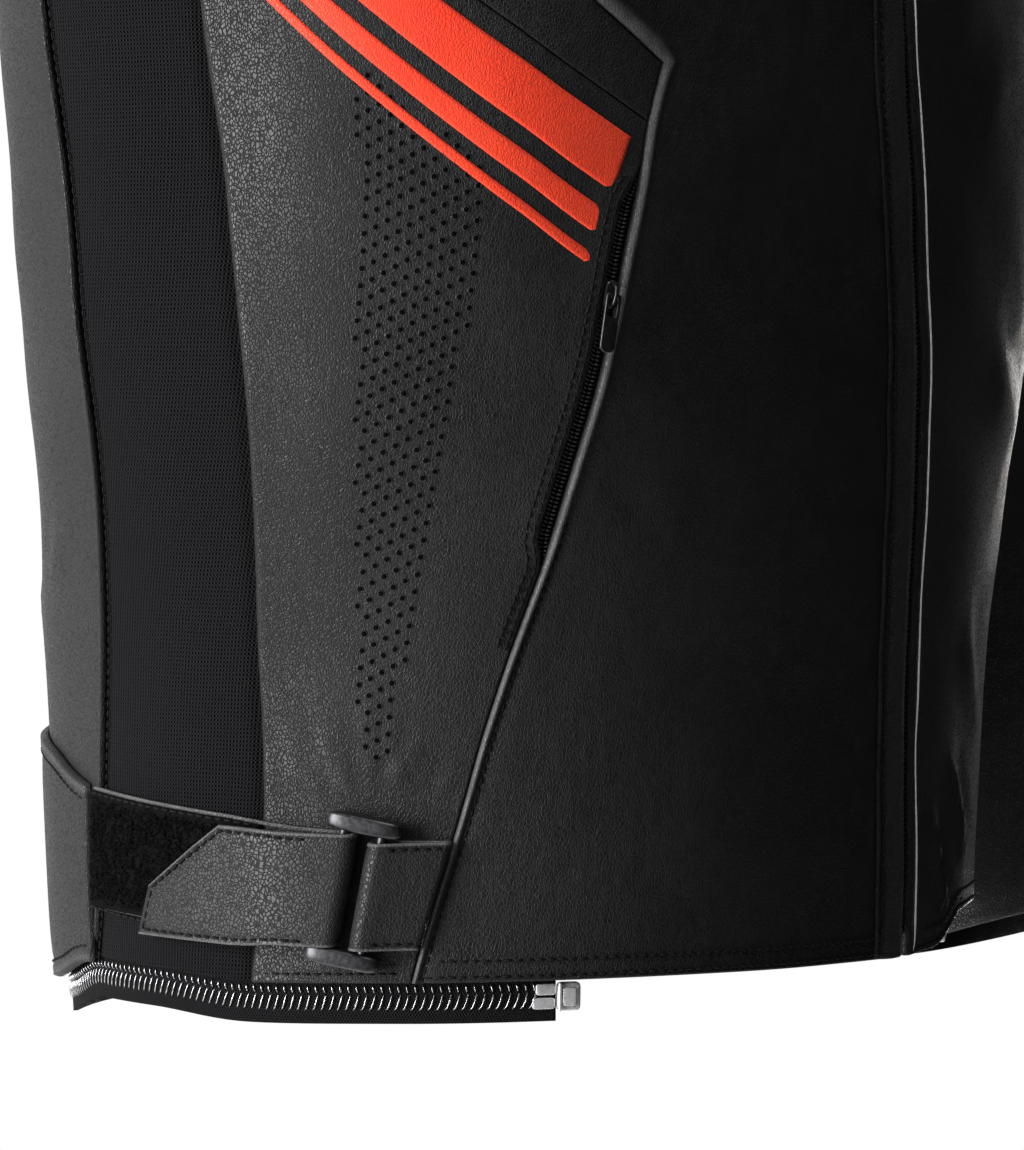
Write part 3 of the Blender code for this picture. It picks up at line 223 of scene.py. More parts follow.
# folds of the leather, placed one by one: girth and rise of both ends, bow, half width and height, metres
FOLDS = [
    # above the waist ring, drawn in by the strap
    (0.405, 0.08, 0.38, 0.099, 0.0012, 0.003, 0.0004), (0.393, 0.078, 0.398, 0.106, -0.0015, 0.0028, 0.00034),
    (0.424, 0.079, 0.45, 0.099, 0.0016, 0.0032, 0.00038), (0.438, 0.078, 0.47, 0.088, 0.001, 0.003, 0.00032),
    (0.376, 0.078, 0.352, 0.088, -0.0008, 0.0028, 0.00034), (0.412, 0.079, 0.419, 0.112, 0.002, 0.0032, 0.00028),
    (0.362, 0.075, 0.345, 0.09, 0.001, 0.0026, 0.00026), (0.455, 0.09, 0.476, 0.112, 0.0015, 0.004, 0.00032),
    (0.402, 0.0265, 0.36, 0.029, 0.0006, 0.0024, 0.00028), (0.43, 0.026, 0.455, 0.0285, 0.0005, 0.0024, 0.00026),
    # long soft draws across the side and the front
    (0.3, 0.23, 0.44, 0.255, 0.006, 0.015, 0.0007), (0.33, 0.17, 0.47, 0.195, -0.005, 0.017, 0.0006),
    (0.11, 0.295, 0.225, 0.25, 0.008, 0.013, 0.0009), (0.07, 0.24, 0.205, 0.215, -0.006, 0.015, 0.0007),
    (0.09, 0.125, 0.23, 0.14, 0.005, 0.019, 0.0008), (0.06, 0.07, 0.25, 0.065, -0.004, 0.016, 0.0006),
    (0.12, 0.33, 0.25, 0.37, 0.005, 0.014, 0.0011), (0.18, 0.39, 0.33, 0.415, -0.007, 0.012, 0.0013),
    (0.1, 0.45, 0.26, 0.47, 0.005, 0.016, 0.0011), (0.33, 0.44, 0.372, 0.52, 0.004, 0.009, 0.0012),
    # the pocket's pull on the front
    (0.215, 0.16, 0.262, 0.175, 0.002, 0.006, 0.0006), (0.205, 0.21, 0.245, 0.225, -0.002, 0.006, 0.0005),
    # wearer's left front, where the hem is drawn up
    (-0.035, 0.0698, -0.078, 0.0304, 0.002, 0.0038, 0.00221), (-0.06, 0.085, -0.12, 0.042, -0.003, 0.0051, 0.00182),
    (-0.09, 0.13, -0.17, 0.08, 0.005, 0.0093, 0.00169), (-0.11, 0.21, -0.23, 0.185, 0.005, 0.0127, 0.00143),
    (-0.08, 0.285, -0.21, 0.305, -0.006, 0.0119, 0.00143), (-0.13, 0.35, -0.3, 0.385, 0.006, 0.0119, 0.00169),
    (-0.2, 0.42, -0.34, 0.45, -0.005, 0.011, 0.00169), (-0.3, 0.13, -0.44, 0.15, 0.005, 0.0127, 0.00117),
    (-0.31, 0.225, -0.45, 0.21, -0.006, 0.0119, 0.00117), (-0.405, 0.083, -0.378, 0.098, 0.0015, 0.0026, 0.00091),
    (-0.425, 0.082, -0.455, 0.1, -0.002, 0.0027, 0.00091), (-0.33, 0.27, -0.45, 0.31, 0.005, 0.0102, 0.0013),
    # back: slack across the waist and between the shoulders
    (0.72, 0.125, 0.96, 0.138, 0.008, 0.0093, 0.0028), (0.76, 0.16, 1.12, 0.165, -0.009, 0.011, 0.00297),
    (0.82, 0.205, 1.23, 0.198, 0.01, 0.0127, 0.00263), (1.04, 0.124, 1.28, 0.137, 0.007, 0.0093, 0.00263),
    (0.69, 0.265, 0.9, 0.245, -0.007, 0.0127, 0.00228), (1.09, 0.255, 1.33, 0.278, 0.008, 0.0119, 0.00228),
    (0.66, 0.355, 0.86, 0.42, 0.009, 0.0119, 0.0028), (1.34, 0.36, 1.15, 0.415, 0.008, 0.0127, 0.00263),
    (0.7, 0.46, 1.0, 0.475, -0.006, 0.0145, 0.0021), (1.01, 0.515, 1.29, 0.505, 0.005, 0.0127, 0.0021),
    (0.7, 0.54, 0.8, 0.62, 0.004, 0.0102, 0.00193), (1.3, 0.545, 1.19, 0.615, -0.004, 0.0102, 0.00193),
    (0.68, 0.14, 0.64, 0.155, 0.002, 0.0076, 0.0014), (-0.64, 0.15, -0.7, 0.13, 0.002, 0.0076, 0.00158),
]
# hardware that the leather lies flat under: girth, rise, reach
FLAT = [(0.269, 0.221, 0.02), (-0.269, 0.221, 0.02), (0.0, 0.52, 0.018),
        (0.408, 0.0507, 0.034), (-0.408, 0.0507, 0.034)]


def ease(x):
    """0 to 1 with level ends."""
    x = np.clip(x, 0, 1)
    return x * x * (3 - 2 * x)


def relief(girth, rise):
    """How far the leather stands off the form: for each fold a bell across its line with a shallow hollow on
    its lower side, faded at both ends, plus three slow waves; none at the armholes or under the hardware."""
    span = half(rise)
    turned = (girth + 1) % 2 - 1
    across, up = turned * span, rise
    height = (0.00028 * np.sin(across * 61 + 9 * np.sin(up * 14)) * np.sin(up * 27 + 2.1 * np.sin(across * 19 + 1))
              + 0.00022 * np.sin(across * 23 - up * 31 + 0.8) + 0.00012 * np.sin(across * 109 + up * 47))
    for g0, h0, g1, h1, bow, width, tall in FOLDS:
        s0, s1 = g0 * half(h0), g1 * half(h1)
        length = math.hypot(s1 - s0, h1 - h0)
        tx, ty = (s1 - s0) / length, (h1 - h0) / length
        here = girth * span if max(g0, g1) > 1 else across
        along = ((here - s0) * tx + (up - h0) * ty) / length
        off = -(here - s0) * ty + (up - h0) * tx - bow * 4 * along * (1 - along)
        fade = ease(along / 0.35) * ease((1 - along) / 0.35)
        height = height + tall * fade * (np.exp(-(off / width) ** 2)
                                         - 0.55 * np.exp(-((off + 1.7 * width) / width) ** 2))
    outside = (np.abs((np.abs(turned) - ARMHOLE_CENTRE[0]) / ARMHOLE_HALF[0]) ** ARMHOLE_FULLNESS
               + np.abs((up - ARMHOLE_CENTRE[1]) / ARMHOLE_HALF[1]) ** ARMHOLE_FULLNESS) ** (1 / ARMHOLE_FULLNESS) - 1
    height = height * ease(outside / 0.22)
    for g0, h0, reach in FLAT:
        away = np.hypot((turned - g0) * span, up - h0)
        height = height * ease((away - 0.45 * reach) / (0.55 * reach))
    return height


def surface(girth, rise, out=0.0):
    """A place on the worn leather, out metres above it."""
    return lifted(girth, rise, relief(girth, rise) + out)


# ---------------------------------------------------------------- lines on the form
def metric_steps(line):
    """Metres from point to point of a (girth, rise) line, added up."""
    middle = (line[1:, 1] + line[:-1, 1]) / 2
    step = np.hypot(np.diff(line[:, 0]) * half(middle), np.diff(line[:, 1]))
    return np.concatenate([[0], np.cumsum(step)])


def along(line, shares):
    """Points of a (girth, rise) line at shares of its length."""
    length = metric_steps(line)
    at = np.asarray(shares) * length[-1]
    return np.stack([np.interp(at, length, line[:, 0]), np.interp(at, length, line[:, 1])], -1)


def up_seam(rows, low, high, shift=0.0):
    """A seam that runs up the body."""
    rise = np.linspace(low, high, max(3, int(abs(high - low) / 0.004)))
    return np.stack([curve(rise, rows) + shift, rise], -1)


def round_seam(rows, first, last, shift=0.0):
    """A seam that runs round the body."""
    girth = np.linspace(first, last, max(3, int(abs(last - first) / 0.008)))
    return np.stack([girth, curve(girth, rows) + shift], -1)


def past_back(points):
    """A line of the wearer's left, its girth counted on past the back centre."""
    return np.stack([2 - points[:, 0], points[:, 1]], -1)


def over_back(right_rows, left_rows, start, shift=0.0):
    """A line across the back, from a girth on the wearer's right to the same one on the left."""
    return np.concatenate([round_seam(right_rows, start, 1, shift),
                           past_back(round_seam(left_rows, 1, start, shift))[1:]])


def armhole_place(angle, tight=1.0):
    """Girth and rise of the armhole at an angle from its top: an oval, sine and cosine to the power 2/fullness."""
    s, c = np.sin(angle), np.cos(angle)
    power = 2 / ARMHOLE_FULLNESS
    return (ARMHOLE_CENTRE[0] - ARMHOLE_HALF[0] * tight * np.sign(s) * np.abs(s) ** power,
            ARMHOLE_CENTRE[1] + ARMHOLE_HALF[1] * tight * np.sign(c) * np.abs(c) ** power)


def armhole(first, last):
    """The armhole from step to step of ARMHOLE_STEPS."""
    angle = np.linspace(first, last, max(3, int(abs(last - first) * 4))) * (2 * math.pi / ARMHOLE_STEPS)
    return np.stack(armhole_place(angle), -1)


def shoulder():
    """From the shoulder point straight to the side of the neck."""
    tip, neck = armhole(0, 0)[0], np.array([0.5, float(curve(0.5, NECKLINE))])
    return tip + (neck - tip) * np.linspace(0, 1, 40)[:, None]


def aside(line, distance):
    """A line moved sideways by distance in metres, to its left as it runs."""
    flat = np.gradient(line, axis=0)
    flat[:, 0] *= half(line[:, 1])
    normal = unit(np.stack([-flat[:, 1], flat[:, 0]], -1)) * distance
    return line + np.stack([normal[:, 0] / half(line[:, 1]), normal[:, 1]], -1)


def slot(rise):
    """How far the side front's edge stands off the ridge along the pocket zip, in girth."""
    return SLOT * ease(np.interp(rise, SLOT_ENDS, [0, 1, 1, 0]))


# ---------------------------------------------------------------- meshes
def mesh_piece(name, points, faces, finish, rim=None, uv=None, wear=None, sharp=None):
    """A closed mesh as an object. Faces are arrays of triangles or quads; where the signed volume comes out
    negative they are all turned over, so they point outwards. A rim finish goes on the last group of faces."""
    points = np.asarray(points, float).reshape(-1, 3)
    volume = 0.0
    for group in faces:
        for k in range(1, group.shape[1] - 1):
            a, b, c = points[group[:, 0]], points[group[:, k]], points[group[:, k + 1]]
            volume += np.einsum("ij,ij->i", a - points[0], np.cross(b - points[0], c - points[0])).sum()
    if volume < 0:
        faces = [group[:, ::-1] for group in faces]
    mesh = bpy.data.meshes.new(name)
    mesh.from_pydata(points.tolist(), [], [face for group in faces for face in group.tolist()])
    mesh.polygons.foreach_set("use_smooth", np.ones(len(mesh.polygons), bool))
    if sharp is not None:
        mesh.set_sharp_from_angle(angle=math.radians(sharp))
    mesh.materials.append(finish)
    if rim:
        mesh.materials.append(rim)
        slots = np.repeat([0, 1], [len(group) for group in faces]).astype(np.int32)
        mesh.polygons.foreach_set("material_index", slots)
    if uv is not None:
        corner = np.empty(len(mesh.loops), np.int32)
        mesh.loops.foreach_get("vertex_index", corner)
        layer = mesh.uv_layers.new(name="cut")
        layer.data.foreach_set("uv", np.asarray(uv, np.float32).reshape(-1, 2)[corner].ravel())
    # the per-point weight of the paler colour: partly rubbed wear, partly painted highlight
    if wear is not None:
        layer = mesh.attributes.new("wear", "FLOAT", "POINT")
        layer.data.foreach_set("value", np.asarray(wear, np.float32).ravel())
    made = bpy.data.objects.new(name, mesh)
    bpy.context.scene.collection.objects.link(made)
    return made


def shell(name, outer, inner, finish, rim=None, **layers):
    """Two grids of points, the outer and inner faces of one wall, joined by a rim round all four edges."""
    rows, columns = outer.shape[:2]
    count = rows * columns
    index = np.arange(count).reshape(rows, columns)
    top = np.stack([index[:-1, :-1], index[:-1, 1:], index[1:, 1:], index[1:, :-1]], -1).reshape(-1, 4)
    border = np.concatenate([index[0, :-1], index[:-1, -1], index[-1, :0:-1], index[:0:-1, 0]])
    after = np.roll(border, -1)
    edge = np.stack([after, border, border + count, after + count], -1)
    layers = {key: np.tile(np.asarray(values).reshape(count, -1), (2, 1)) for key, values in layers.items()}
    points = np.concatenate([outer.reshape(-1, 3), inner.reshape(-1, 3)])
    return mesh_piece(name, points, [np.concatenate([top, top[:, ::-1] + count]), edge], finish, rim, **layers)


def capped(rows, sides):
    """Faces round rows of sides points each: point 0 closes the first row, the last point the last row."""
    a = 1 + np.arange(sides)
    b = 1 + (np.arange(sides) + 1) % sides
    walls = np.concatenate([np.stack([a + k, b + k, b + k + sides, a + k + sides], -1)
                            for k in range(0, (rows - 1) * sides, sides)])
    end = (rows - 1) * sides
    caps = np.concatenate([np.stack([np.zeros_like(a), b, a], -1),
                           np.stack([np.full_like(a, rows * sides + 1), a + end, b + end], -1)])
    return walls, caps


def repeated(faces, count, step):
    """Groups of faces for count copies of the same step points."""
    moved = (np.arange(count) * step)[:, None, None]
    return [(group + moved).reshape(-1, group.shape[1]) for group in faces]


def tubes(paths, radius, sides, up):
    """Round tubes along many paths at once, (count, points, 3): rings square to the path, a radius for each
    point, and both ends drawn to a point. Gives the points and the faces."""
    paths = np.asarray(paths, float)
    count, points = paths.shape[:2]
    ahead = unit(np.gradient(paths, axis=1))
    side = unit(np.cross(ahead, np.broadcast_to(up, paths.shape)))
    over = np.cross(side, ahead)
    angle = 2 * math.pi * np.arange(sides) / sides
    radius = np.broadcast_to(radius, (points,)).astype(float)
    ring = paths[:, :, None] + radius[None, :, None, None] * (
        side[:, :, None] * np.cos(angle)[:, None] + over[:, :, None] * np.sin(angle)[:, None])
    first = paths[:, :1] - ahead[:, :1] * radius[0] * 0.5
    last = paths[:, -1:] + ahead[:, -1:] * radius[-1] * 0.5
    verts = np.concatenate([first, ring.reshape(count, -1, 3), last], 1)
    return verts.reshape(-1, 3), repeated(capped(points, sides), count, points * sides + 2)


def gather(parts):
    """Several (points, faces) made one: faces keep to groups of quads and of triangles."""
    points, groups, start = [], {3: [], 4: []}, 0
    for verts, faces in parts:
        verts = np.asarray(verts).reshape(-1, 3)
        for group in faces:
            groups[group.shape[1]].append(group + start)
        points.append(verts)
        start += len(verts)
    return np.concatenate(points), [np.concatenate(g) for g in groups.values() if g]


# ---------------------------------------------------------------- cut pieces of cloth
def rails(left_parts, right_parts, cell, steps):
    """Two facing edges of a cut piece, given as matching parts: both get the same number of points, even
    within a part, and extra ones close to both ends."""
    lefts, rights = [], []
    for k, (a, b) in enumerate(zip(left_parts, right_parts)):
        size = max(metric_steps(a)[-1], metric_steps(b)[-1])
        shares = np.linspace(0, 1, max(2, math.ceil(size / cell)) + 1)
        near = steps[steps < 0.4 * size] / size
        if k == 0:
            shares = np.concatenate([near, shares[shares > near[-1] + 0.3 * cell / size]])
        if k == len(left_parts) - 1:
            shares = np.concatenate([shares[shares < 1 - near[-1] - 0.3 * cell / size], 1 - near[::-1]])
        if k < len(left_parts) - 1 and shares[-1] < 1:
            shares = np.append(shares, 1)
        if k:
            shares = shares[1:] if shares[0] == 0 else shares
        lefts.append(along(a, shares))
        rights.append(along(b, shares))
    return np.concatenate(lefts), np.concatenate(rights)


def cut(left_parts, right_parts, low, high, cell, left_steps=TURNED, right_steps=TURNED, end_steps=TURNED):
    """A cut piece between four edges: the sum of the two ruled surfaces less the one through the corners, in
    (girth, rise). Columns keep a set distance to the left and right edge. Gives girth, rise and the
    distance in metres of each place to the left, right, low and high edge."""
    left, right = rails(left_parts, right_parts, cell, end_steps)
    span = half((left[:, 1] + right[:, 1]) / 2)
    row = np.stack([(right[:, 0] - left[:, 0]) * span, right[:, 1] - left[:, 1]], -1)
    width = np.linalg.norm(row, axis=1)
    row = unit(row)
    slants = []
    for rail in (left, right):
        run = np.gradient(rail, axis=0)
        run = unit(np.stack([run[:, 0] * span, run[:, 1]], -1))
        slant = np.abs(row[:, 0] * run[:, 1] - row[:, 1] * run[:, 0])
        slant = np.convolve(np.pad(slant, 2, mode="edge"), np.ones(5) / 5, "valid")
        slants.append(np.clip(slant, 0.35, 1))
    near = [np.minimum(steps[None, :] / (width * slant)[:, None], steps[None, :] / steps[-1] * 0.3)
            for steps, slant in zip((left_steps, right_steps), slants)]
    columns = math.ceil((width.max() - left_steps[-1] - right_steps[-1]) / cell)
    middle = np.linspace(0, 1, max(3, columns))[1:-1]
    first, last = near[0][:, -1:], 1 - near[1][:, -1:]
    u = np.concatenate([near[0], first + (last - first) * middle[None, :], 1 - near[1][:, ::-1]], 1)
    lengths = [metric_steps(rail) for rail in (left, right)]
    t = (lengths[0] / lengths[0][-1] + lengths[1] / lengths[1][-1])[:, None] / 2
    place = ((1 - u)[..., None] * left[:, None] + u[..., None] * right[:, None]
             + (1 - t)[..., None] * along(low, u) + t[..., None] * along(high, u)
             - ((1 - t) * (1 - u))[..., None] * low[0] - ((1 - t) * u)[..., None] * low[-1]
             - (t * (1 - u))[..., None] * high[0] - (t * u)[..., None] * high[-1])
    girth, rise = place[..., 0], place[..., 1]
    step = np.hypot(np.diff(girth, axis=0) * half(rise[1:]), np.diff(rise, axis=0))
    up = np.concatenate([np.zeros((1, step.shape[1])), np.cumsum(step, 0)])
    return {"girth": girth, "rise": rise, "left": u * (width * slants[0])[:, None],
            "right": (1 - u) * (width * slants[1])[:, None],
            "low": up + end_steps[0], "high": up[-1] - up + end_steps[0]}


def strip(left, right, cell, steps=TURNED, points=6):
    """A cut piece between two edges, its ends straight."""
    ends = [np.linspace(left[k], right[k], points) for k in (0, -1)]
    return cut([left], [right], *ends, cell, steps, steps, steps)


def rounded(distance, radius=EDGE_ROUND):
    """Drop towards a turned edge: a quarter circle of that radius."""
    x = np.clip(distance - FIRST_LINE, 0, radius)
    return np.sqrt(np.maximum(radius**2 - (radius - x) ** 2, 0)) - radius


def profile(distance, rows):
    """Height by distance from an edge, rows of (millimetres, millimetres)."""
    return curve(distance * 1000, rows) / 1000


def flat_cut(girth, rise):
    """The place of each point in the flat cut, metres: round the body, counted on past the back, and up."""
    return np.stack([girth * half(rise), rise], -1)


def clothing(name, piece, lift, finish, node, depth=WALL, under=0.0, wear=None, *, rests):
    """A cut piece as a closed wall on the torso, declared as the sheet that it was cut from."""
    girth, rise = piece["girth"], piece["rise"]
    normal = facing(girth, rise)
    base = form(girth, rise) + normal * (relief(girth, rise) + under)[..., None]
    uv = flat_cut(girth, rise)
    made = shell(name, base + normal * lift[..., None], base - normal * depth, finish,
                 uv=uv, wear=np.zeros_like(lift) if wear is None else wear)
    finished(made, node)
    declare(made, uv, rests)


def finished(made, node, body="jacket"):
    """Rides on its body and stands for its CAD node, if it has one."""
    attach(made, body)
    if node:
        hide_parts(node)


def detail(name, points, faces, finish, slot_name):
    """A small piece of the jacket that stands for no CAD node."""
    finished(mesh_piece(name, points, faces, finish), None)


def sheet(made, width, length, area, rests, held="hung"):
    """Declares a cloth by the box of its flat cut and its own area, at least 0.301 of that box."""
    width, length = float(width), float(length)
    area = float(np.clip(area, 0.301 * width * length, width * length))
    CUTS.append((made.name, round(width, 4), round(length, 4), round(area, 5)))


def declare(made, uv, rests):
    """The flat cut: the smallest rectangle that it fits in, and its area from the grid's cells."""
    edge_a, edge_b = uv[1:, 1:] - uv[:-1, :-1], uv[1:, :-1] - uv[:-1, 1:]
    area = np.abs(edge_a[..., 0] * edge_b[..., 1] - edge_a[..., 1] * edge_b[..., 0]).sum() / 2
    turns = np.radians(np.arange(0, 90, 2.0))[:, None]
    u, v = uv.reshape(-1, 2).T
    boxes = np.stack([np.ptp(u * np.cos(turns) + v * np.sin(turns), axis=1),
                      np.ptp(v * np.cos(turns) - u * np.sin(turns), axis=1)], -1)
    sheet(made, *np.maximum(boxes[boxes.prod(1).argmin()], 0.0101), area, rests)


CUTS = []


# ---------------------------------------------------------------- materials
def tone(code):
    """An sRGB hex colour as linear red, green, blue and 1."""
    parts = [int(code[i:i + 2], 16) / 255 for i in (1, 3, 5)]
    return (*[p / 12.92 if p <= 0.04045 else ((p + 0.055) / 1.055) ** 2.4 for p in parts], 1.0)


def add(tree, kind, settings=None, inputs=None, stops=()):
    """Adds one node: settings are its properties, inputs its sockets by name or number, each a value or a
    socket to link from, stops the places and colours of its colour band."""
    made = tree.nodes.new(kind)
    for key, value in (settings or {}).items():
        setattr(made, key, value)
    for key, value in (inputs or {}).items():
        if isinstance(value, bpy.types.NodeSocket):
            tree.links.new(value, made.inputs[key])
        else:
            made.inputs[key].default_value = value
    for number, (place, colour) in enumerate(stops):
        stop = made.color_ramp.elements[number] if number < 2 else made.color_ramp.elements.new(place)
        stop.position, stop.color = place, colour
    return made


def finish_of(name, inputs):
    """A new material with one shader, its plain values set on the shader's own sockets."""
    made = bpy.data.materials.new(name)
    made.use_nodes = True
    tree = made.node_tree
    shader = tree.nodes["Principled BSDF"]
    for key, value in inputs.items():
        shader.inputs[key].default_value = value
    return made, tree, shader


def noise(tree, place, scale, detail=2.0):
    """The outputs of a noise over those coordinates, scale in waves per metre."""
    return add(tree, "ShaderNodeTexNoise", inputs={"Vector": place, "Scale": scale, "Detail": detail}).outputs


def maths(tree, operation, *values, clamp=False):
    """One operation on up to three values."""
    return add(tree, "ShaderNodeMath", {"operation": operation, "use_clamp": clamp},
               dict(enumerate(values))).outputs["Value"]


def dot(tree, vector, other):
    """The dot product of a vector with a constant one."""
    return add(tree, "ShaderNodeVectorMath", {"operation": "DOT_PRODUCT"}, {0: vector, 1: other}).outputs["Value"]


def remap(tree, value, low, high, to_low=0.0, to_high=1.0, kind="LINEAR"):
    """A value carried from one range to another."""
    return add(tree, "ShaderNodeMapRange", {"interpolation_type": kind}, {
        "Value": value, "From Min": low, "From Max": high, "To Min": to_low, "To Max": to_high}).outputs["Result"]


def mixed(tree, kind, amount, first, second):
    """Two colours mixed."""
    return add(tree, "ShaderNodeMixRGB", {"blend_type": kind},
               {"Fac": amount, "Color1": first, "Color2": second}).outputs["Color"]


def shaded(tree, value, low, dark, high, light):
    """A colour from dark at low to light at high."""
    return add(tree, "ShaderNodeValToRGB", inputs={"Fac": value}, stops=[(low, dark), (high, light)]).outputs["Color"]


def connect(tree, shader, colour, rough, height, depth):
    """Colour, roughness and a bump depth millimetres high on the shader."""
    bump = add(tree, "ShaderNodeBump", inputs={"Strength": 1.0, "Distance": depth / 1000, "Height": height})
    for key, value in (("Normal", bump.outputs["Normal"]), ("Base Color", colour), ("Roughness", rough)):
        tree.links.new(value, shader.inputs[key])


def hide(name, dark, light, worn_and_lit, grain, depth, rough, stretch, crease_shade):
    """Cowhide, drum dyed and finished: rounded cells of grain with fine creases between them, slightly longer
    up the body, satin on the crowns and duller in the creases, each cell's outline darkened in the colour as
    painted shade; cut and turned edges (a vertex attribute) are painted paler, partly rubbed wear and partly
    painted highlight. grain is the width of a cell in millimetres, the last argument how dark the painted
    crease shade is."""
    made, tree, shader = finish_of(name, {"IOR": 1.5, "Specular IOR Level": 0.27})
    spot = add(tree, "ShaderNodeTexCoord").outputs["Object"]
    longer = add(tree, "ShaderNodeMapping", inputs={"Vector": spot, "Scale": (1.0, 1.0, stretch)}).outputs["Vector"]
    bent = mixed(tree, "LINEAR_LIGHT", 0.0012, longer, noise(tree, longer, 260.0)["Color"])
    cells = add(tree, "ShaderNodeTexVoronoi", {"feature": "DISTANCE_TO_EDGE"},
                {"Vector": bent, "Scale": 1000.0 / grain, "Randomness": 1.0}).outputs["Distance"]
    crown = remap(tree, cells, 0.0, 0.2, kind="SMOOTHSTEP")
    pores, slack = noise(tree, spot, 3200.0)["Fac"], noise(tree, longer, 150.0)["Fac"]
    height = maths(tree, "MULTIPLY_ADD", slack, 0.6, maths(tree, "MULTIPLY_ADD", pores, 0.18, crown))
    base = shaded(tree, noise(tree, spot, 14.0, 4.0)["Fac"], 0.3, tone(dark), 0.72, tone(light))
    # painted shade: each cell's crease outline darkens the colour, more where the slow noise is high
    crease_shade_mask = shaded(tree, crown, 0.0, (0.12, 0.12, 0.12, 1), 0.7, (1, 1, 1, 1))
    crease_shaded_base = mixed(tree, "MULTIPLY", remap(tree, slack, 0.36, 0.6, crease_shade * 0.45, crease_shade), base, crease_shade_mask)
    # painted highlight and wear: a vertex attribute mixes in the paler worn colour at turned edges, rolls and crowns,
    # partly rubbed wear and partly the light they catch
    rubbed_and_lit = add(tree, "ShaderNodeAttribute", {"attribute_name": "wear"}).outputs["Fac"]
    patchy = maths(tree, "MULTIPLY", rubbed_and_lit, remap(tree, slack, 0.3, 0.65, 0.65, 1.1), clamp=True)
    connect(tree, shader, mixed(tree, "MIX", patchy, crease_shaded_base, tone(worn_and_lit)),
            remap(tree, height, 0.2, 1.3, rough + 0.5, rough - 0.05), height, depth)
    return made


def woven(name, dark, light, across, up, depth, rough, twill=0.0):
    """A woven or knitted cloth on its flat cut: threads across and up as raised waves (spacing in millimetres),
    twill leans them; matt, with a faint fuzz."""
    made, tree, shader = finish_of(name, {"IOR": 1.45, "Specular IOR Level": 0.05, "Sheen Weight": 0.01,
                                          "Sheen Roughness": 0.6})
    cut_map = add(tree, "ShaderNodeUVMap", {"uv_map": "cut"}).outputs["UV"]
    bent = mixed(tree, "LINEAR_LIGHT", 0.0004, cut_map, noise(tree, cut_map, 90.0)["Color"])
    waves = [maths(tree, "SINE", maths(tree, "MULTIPLY", dot(tree, bent, threads), 2 * math.pi))
             for threads in ((1000.0 / across, twill * 1000.0 / across, 0), (0, 1000.0 / up, 0))]
    ribs = maths(tree, "MULTIPLY_ADD", waves[0], 0.6, maths(tree, "MULTIPLY", *waves))
    fuzz = noise(tree, cut_map, 2600.0)["Fac"]
    height = maths(tree, "MULTIPLY_ADD", fuzz, 0.8, ribs)
    connect(tree, shader, shaded(tree, remap(tree, height, -1.0, 1.8), 0.25, tone(dark), 0.8, tone(light)),
            remap(tree, fuzz, 0.2, 0.8, rough - 0.06, rough + 0.06), height, depth)
    return made


def speckled(name, dark, light, metallic, rough, scale, depth, specular=0.5):
    """A finish varied by one fine noise: thread, plating, plastic and the fuzzy loop cloth."""
    made, tree, shader = finish_of(name, {"Metallic": metallic, "Specular IOR Level": specular})
    fine = noise(tree, add(tree, "ShaderNodeTexCoord").outputs["Object"], scale, 3.0)["Fac"]
    connect(tree, shader, shaded(tree, fine, 0.3, tone(dark), 0.7, tone(light)),
            remap(tree, fine, 0.25, 0.75, rough - 0.05, rough + 0.07), fine, depth)
    return made


# what each finish gives the eye
# nearly black, satin: grain shows only where light rakes across it, painted shade darkens its creases, turned edges a
# little paler, partly from wear and partly painted highlight
BLACK_HIDE = hide("cowhide_black", "#151516", "#1e1e1f", "#5c5c5d", 0.88, 0.105, 0.4, 0.68, 0.8)
# the straps' coarser pebble, each cell's outline darkened with painted shade
STRAP_HIDE = hide("cowhide_black_pebbled", "#171718", "#212122", "#646465", 1.18, 0.1, 0.43, 0.9, 0.95)
# opaque red-orange paint that fills the creases and leaves the grain soft, so its painted crease shade is faint
RED_HIDE = hide("cowhide_red_painted", "#e0351d", "#ee4a2e", "#f07055", 0.95, 0.08, 0.46, 0.62, 0.25)
# dull grey line where leather is cut through
CUT_EDGE = speckled("cowhide_cut_edge_waxed", "#3a3a3b", "#5a5a5b", 0.0, 0.5, 900.0, 0.08)
# the one pale, smooth line on the dark front: painted highlight, near white for the light that the edge bead catches
BEAD_HIGHLIGHT = speckled("polyurethane_edge_bead_grey", "#cfcfd1", "#e2e2e4", 0.0, 0.32, 600.0, 0.02)
# matt charcoal square weave that swallows light beside the leather
STRETCH = woven("polyamide_stretch_knit", "#010101", "#1f1f22", 1.15, 1.25, 0.4, 0.84)
# slanting threads, a shade glossier than the stretch cloth
TAPE_WEAVE = woven("polyester_zip_tape_woven", "#020203", "#1b1b1d", 0.95, 0.8, 0.2, 0.7, 0.6)
# soft dead black, broken only by the pile
LOOPS = speckled("polyamide_loop_cloth", "#020202", "#0c0c0d", 0.0, 0.8, 1400.0, 0.35, 0.04)
# dashes darker than the leather that they pull in
THREAD = speckled("polyester_thread_black", "#030303", "#0c0c0d", 0.0, 0.7, 2500.0, 0.08, 0.15)
# painted shadow: a near-black disc standing in for the shade inside a punched hole
HOLE_SHADOW = speckled("cowhide_hole_shadow", "#010101", "#030303", 0.0, 0.9, 900.0, 0.02, 0.05)
# dark grey metal with a soft wide highlight
GUNMETAL = speckled("zinc_cast_black_plated", "#343436", "#454547", 0.85, 0.34, 700.0, 0.015)
# bright wire, sharp glints
STEEL_TEETH = speckled("brass_teeth_nickel_plated", "#9c9c9e", "#c6c6c8", 1.0, 0.27, 900.0, 0.01)
